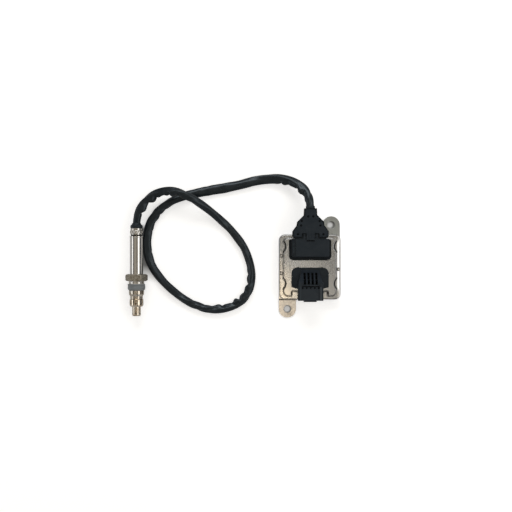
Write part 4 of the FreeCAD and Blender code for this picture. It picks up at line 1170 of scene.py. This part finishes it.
def cover_height(x, y):
    """Height of the cover's face at (x, y), in mm, and how much painted shade its creases get there.

    The rim's height plus a smooth step up the plateau's slope, less a coined line along the plateau's foot,
    plus the faint waves of a drawn sheet. Painted shade lies in that line, thick in the bites and the notch,
    where it follows the step, and in a ring round each lug.
    """
    distance = plateau_distance(x, y)
    share = np.clip((plateau_slope[0] - distance) / (plateau_slope[0] - plateau_slope[1]), 0, 1)
    height = cover_rim + cover_rise * share * share * (3 - 2 * share)
    foot = np.exp(-((distance - foot_line_place) / foot_line_width) ** 2)
    shift = np.where(x > 0, right_shade_shift, 0.0)
    bite = np.min([np.hypot(x - cx, y - cy) for cx, cy in scallop_places], axis=0) - scallop_radius + shift
    in_bite = np.clip(bite_shade - np.abs(bite) / bite_shade_reach, 0, 1)
    in_notch = np.clip(1.0 - np.abs(y - notch_top_y + notch_shade_drop) / notch_shade_reach, 0, 1)
    in_notch = in_notch * (np.abs(x) < notch_half_width + notch_shade_margin)
    thick = np.exp(-((distance - crease_shade_place - shift) / crease_shade_width) ** 2)
    thick = thick * np.maximum(in_bite, notch_shade_share * in_notch)
    crease = np.maximum(np.where(y < near_foot_y, near_foot_shade, foot_shade) * foot, thick)
    for lug_x, lug_y in lug_places:
        away = np.hypot(x - lug_x, y - lug_y)
        crease = np.maximum(crease, np.exp(-((away - lug_ring_radius) / lug_ring_width) ** 2))
    waves = wave_height * sum(np.sin(u / length + shift * np.sin(v / cross))
                              for (u, v), (length, shift, cross) in zip(((x, y), (y, x)), sheet_waves))
    return height - foot_line_depth * foot + waves * (distance < 0) * share, crease


def split_steps(low, high, through, step):
    """Steps from low to high, exactly through the given places and at most step(a, b) apart between two."""
    stops = sorted({low, high} | {v for v in through if low < v < high})
    runs = [np.linspace(a, b, max(2, int(math.ceil((b - a) / step(a, b))) + 1))[:-1]
            for a, b in zip(stops, stops[1:])]
    return np.concatenate(runs + [[high]])


def column_step(a, b):
    """Fine steps across the plateau's sides and the notch's ends, coarse ones elsewhere."""
    middle = abs(a + b) / 2
    near_side = middle > plateau_half[0] - cover_fine_zone
    near_notch = abs(middle - notch_half_width) < cover_notch_zone
    return cover_fine_step if near_side or near_notch else cover_coarse_step


def cover_grid():
    """x and y of the grid under the cover's face, in mm.

    Its rows narrow towards the round corners, so that its outermost line is the outline of the face.
    """
    (wide, tall), (narrow, low) = cover_windows
    zones = (plateau_half[0] - cover_fine_zone, notch_half_width - cover_notch_zone,
             notch_half_width + cover_notch_zone)
    zones = wide + narrow + zones + tuple(-v for v in zones)
    columns = split_steps(-face_half[0], face_half[0], zones, column_step) / face_half[0]
    core_x, core_y = (half - face_corner for half in face_half)
    straight = split_steps(-core_y, core_y, tall + low, lambda a, b: cover_row_step)
    turn = np.linspace(0, np.pi / 2, cover_corner_rows + 1)[1:]
    bulge, round_reach = face_corner * np.sin(turn), core_x + face_corner * np.cos(turn)
    rows = np.concatenate([-core_y - bulge[::-1], straight, core_y + bulge])
    reach = np.concatenate([round_reach[::-1], np.full(len(straight), face_half[0]), round_reach])
    x = columns[None, :] * reach[:, None]
    return x, np.broadcast_to(rows[:, None], x.shape)


def skirt_profile():
    """The rolled rim and the skirt, down outside and up inside, as (distance out from the face, height)."""
    roll = np.linspace(0, np.pi / 2, cover_roll_rings + 1)[1:]
    profile = [(cover_edge * math.sin(a), cover_rim - cover_edge * (1 - math.cos(a))) for a in roll]
    inner = cover_edge - cover_sheet
    return profile + [(cover_edge, cover_rim - cover_edge - cover_support),
                      (cover_edge, cover_skirt_bottom + cover_support), (cover_edge, cover_skirt_bottom),
                      (inner, cover_skirt_bottom), (inner, cover_skirt_bottom + cover_support),
                      (inner, cover_rim - cover_sheet - cover_inner_drop)]


def window_walls(quads, loop, count):
    """Walls from each edge that only one quad has, but for the outer loop, to its twin, count points on."""
    starts = quads.ravel()
    ends = np.roll(quads, -1, axis=1).ravel()
    alone = ~np.isin(ends * count + starts, starts * count + ends)
    on_loop = np.isin(starts, loop) & np.isin(ends, loop)
    a, b = starts[alone & ~on_loop], ends[alone & ~on_loop]
    return np.stack([b, a, a + count, b + count], -1)


def make_cover():
    """The pressed cover: its face on a grid, left open at the two windows, and its rim rolled down all round.

    The underside is the face again, a sheet's thickness lower. The rolled rim and the skirt are the face's
    outer loop moved outwards and down along their profile.
    """
    x, y = cover_grid()
    height, crease = cover_height(x, y)
    count = x.size
    face = np.stack([x, y, height], -1).reshape(-1, 3)
    under = face - (0.0, 0.0, cover_sheet)
    quads = grid_faces(*x.shape, False, False)
    middle = face[quads].mean(axis=1)
    for (x0, x1), (y0, y1) in cover_windows:
        open_there = (middle[:, 0] > x0) & (middle[:, 0] < x1) & (middle[:, 1] > y0) & (middle[:, 1] < y1)
        quads, middle = quads[~open_there], middle[~open_there]
    index = np.arange(count).reshape(x.shape)
    loop = np.concatenate([index[0, :-1], index[:-1, -1], index[-1, :0:-1], index[:0:-1, 0]])
    rim = face[loop, :2]
    core = np.array(face_half) - face_corner
    out = rim - np.clip(rim, -core, core)
    out /= np.linalg.norm(out, axis=1)[:, None]
    profile = skirt_profile()
    rings = [np.column_stack([rim + out * away, np.full(len(loop), z)]) for away, z in profile]
    every = np.concatenate([face, under] + rings) * MM
    ring_index = 2 * count + np.arange(len(profile) * len(loop)).reshape(len(profile), len(loop))
    lines = np.concatenate([loop[None, :], ring_index, loop[None, :] + count])
    ahead = np.roll(lines, -1, axis=1)
    skirt = np.stack([lines[:-1], ahead[:-1], ahead[1:], lines[1:]], -1).reshape(-1, 4)
    faces = np.concatenate([quads, quads[:, ::-1] + count, skirt, window_walls(quads, loop, count)])
    piece = finish_mesh("pressed_cover", every, faces, finishes["cover_steel"])
    keep_values(piece.data, "crease", "POINT", np.pad(crease.ravel(), (0, len(every) - count)))
    outward(piece)
    dress(piece, "front_cover")


make_cover()


# Stage, light and camera

table_half = 20.0
table_top = -0.02 * MM
table_glow = 0.57
table_lighting = (0.68, 0.68, 0.68, 1)
table_seen = (0.84, 0.84, 0.84, 1)
table_shaded = (0.2, 0.2, 0.19, 1)

# Bolt holes, in mm, as (x, y) of the hole, then (x, y), radius and share of light lost of its lit patch
holes = (
    ((-24.75, -47.5), (-25.1, -47.4), 3.4, 0.5),
    ((24.75, 47.5), (23.3, 47.4), 3.1, 0.57),
)
hole_radius = 4.9
hole_shade = 0.96
hole_softness = 2.0

# Shade between the probe and the sleeve beside it, in mm, as (direction, low, high, softness) of the strips
# that meet in each nook
nooks = (
    (((1, 0, 0), -194.0, -150.0, 2.0), ((0.886, 0.467, 0), -220.0, -155.5, 4.0),
     ((0, 1, 0), -8.0, 60.0, 20.0)),
    (((1, 0, 0), -194.0, -182.0, 2.0), ((0, 1, 0), 14.0, 46.0, 6.0)),
)
nook_shade = 0.9


def table_shade(tree):
    """The share of light lost at each place of the table.

    It is high in the bolt holes, less so at their lit patches, and high where the strips of a nook meet.
    """
    shade = 0.0
    for hole, lit, lit_radius, lit_shade in holes:
        in_hole = spot_mask(tree, *hole, hole_radius, hole_softness)
        in_patch = spot_mask(tree, *lit, lit_radius, hole_softness)
        gained = math_node(tree, "MULTIPLY", in_patch, hole_shade - lit_shade)
        lost = math_node(tree, "MULTIPLY", in_hole, math_node(tree, "SUBTRACT", hole_shade, gained))
        shade = math_node(tree, "ADD", shade, lost)
    for strips in nooks:
        nook = nook_shade
        for strip in strips:
            nook = math_node(tree, "MULTIPLY", nook, strip_mask(tree, *strip))
        shade = math_node(tree, "MAXIMUM", shade, nook)
    return shade


def make_floor():
    """A wide pale table, which is paler and glows a little where the camera sees it."""
    table = bpy.data.materials.new("white table")
    table.use_nodes = True
    tree, shader = tree_and_shader(table)
    for key, value in (("Roughness", 0.8), ("Specular IOR Level", 0.1), ("Emission Strength", table_glow)):
        shader.inputs[key].default_value = value
    seen = add(tree, "LightPath").outputs["Is Camera Ray"]
    shade = table_shade(tree)
    glow = math_node(tree, "MULTIPLY", seen, math_node(tree, "SUBTRACT", 1.0, shade))
    tree.links.new(glow, shader.inputs["Emission Color"])
    colour = mix(tree, seen, table_lighting, table_seen)
    tree.links.new(mix(tree, shade, colour, table_shaded), shader.inputs["Base Color"])
    corners = np.array([(-1, -1), (1, -1), (1, 1), (-1, 1)]) * table_half
    points = np.column_stack([corners, np.full(4, table_top)])
    finish_mesh("table", points, np.array([[0, 1, 2, 3]]), table)


def area_light(name, place, aim, size, power, colour=(1, 1, 1), beam=180):
    """A soft box at place, turned towards aim. size is its width and height."""
    data = bpy.data.lights.new(name, "AREA")
    data.shape = "RECTANGLE"
    data.size, data.size_y = size
    data.energy = power
    data.color = colour
    data.spread = math.radians(beam)
    lamp = place_object(name, data)
    lamp.location = place
    way = Vector(aim) - Vector(place)
    lamp.rotation_euler = way.to_track_quat("-Z", "Y").to_euler()


# Colours of the room, the heights between which its walls pass into its ceiling and its dark beams come up,
# and the beams, as (place across it, half width, softness). Heights and places are parts of a direction of
# length 1.
wall_colour = (0.40, 0.41, 0.43, 1)
ceiling_colour = (0.34, 0.31, 0.26, 1)
beam_colour = (0.05, 0.05, 0.05, 1)
ceiling_rise = (0.15, 0.75)
beam_rise = (0.0, 0.2)
beam_share = 0.9
room_beams = ((-0.7, 0.1, 0.04), (0.2, 0.07, 0.03), (0.97, 0.07, 0.04))


def make_world():
    """A pale room: bright walls, a duller, warmer ceiling, and three dark beams along it."""
    world = bpy.data.worlds.new("room")
    scene.world = world
    world.use_nodes = True
    tree = world.node_tree
    tree.nodes.clear()
    place = add(tree, "TexCoord")
    parts = add(tree, "SeparateXYZ")
    tree.links.new(place.outputs["Generated"], parts.inputs[0])
    high = spread(tree, parts.outputs["Z"], *ceiling_rise)
    colour = mix(tree, high, wall_colour, ceiling_colour)
    beams = 0.0
    for beam in room_beams:
        beams = math_node(tree, "ADD", beams, soft_band(tree, parts.outputs["X"], *beam), True)
    over = math_node(tree, "MULTIPLY", beams, spread(tree, parts.outputs["Z"], *beam_rise))
    colour = mix(tree, math_node(tree, "MULTIPLY", over, beam_share), colour, beam_colour)
    back = add(tree, "Background", {"Strength": 1.0})
    tree.links.new(colour, back.inputs["Color"])
    out = add(tree, "OutputWorld")
    tree.links.new(back.outputs[0], out.inputs[0])


def make_camera():
    """Looks straight down, with the photograph's frame at the table."""
    data = bpy.data.cameras.new("camera")
    data.sensor_width = sensor_width
    data.lens = sensor_width * camera_place[2] / frame_width
    data.clip_start = 0.01
    camera = place_object("camera", data)
    camera.location = camera_place
    scene.camera = camera


make_floor()
make_world()
middle = (-0.08, 0.02, 0.0)
unit_corner = (-0.03, -0.055, 0.0)
area_light("softbox_right", (0.8, 0.1, 0.98), middle, (1.4, 0.62), 3.5)
area_light("softbox_left", (-1.18, 0.0, 0.46), middle, (1.2, 0.24), 1.3)
area_light("lamp_above", (-0.05, -0.125, 1.1), unit_corner, (0.18, 0.18), 0.0036, (1.0, 0.92, 0.8), 14)
area_light("softbox_far", (-0.1, 1.3, 1.1), middle, (1.2, 0.6), 8.5)
make_camera()
scene.view_settings.view_transform = "Standard"
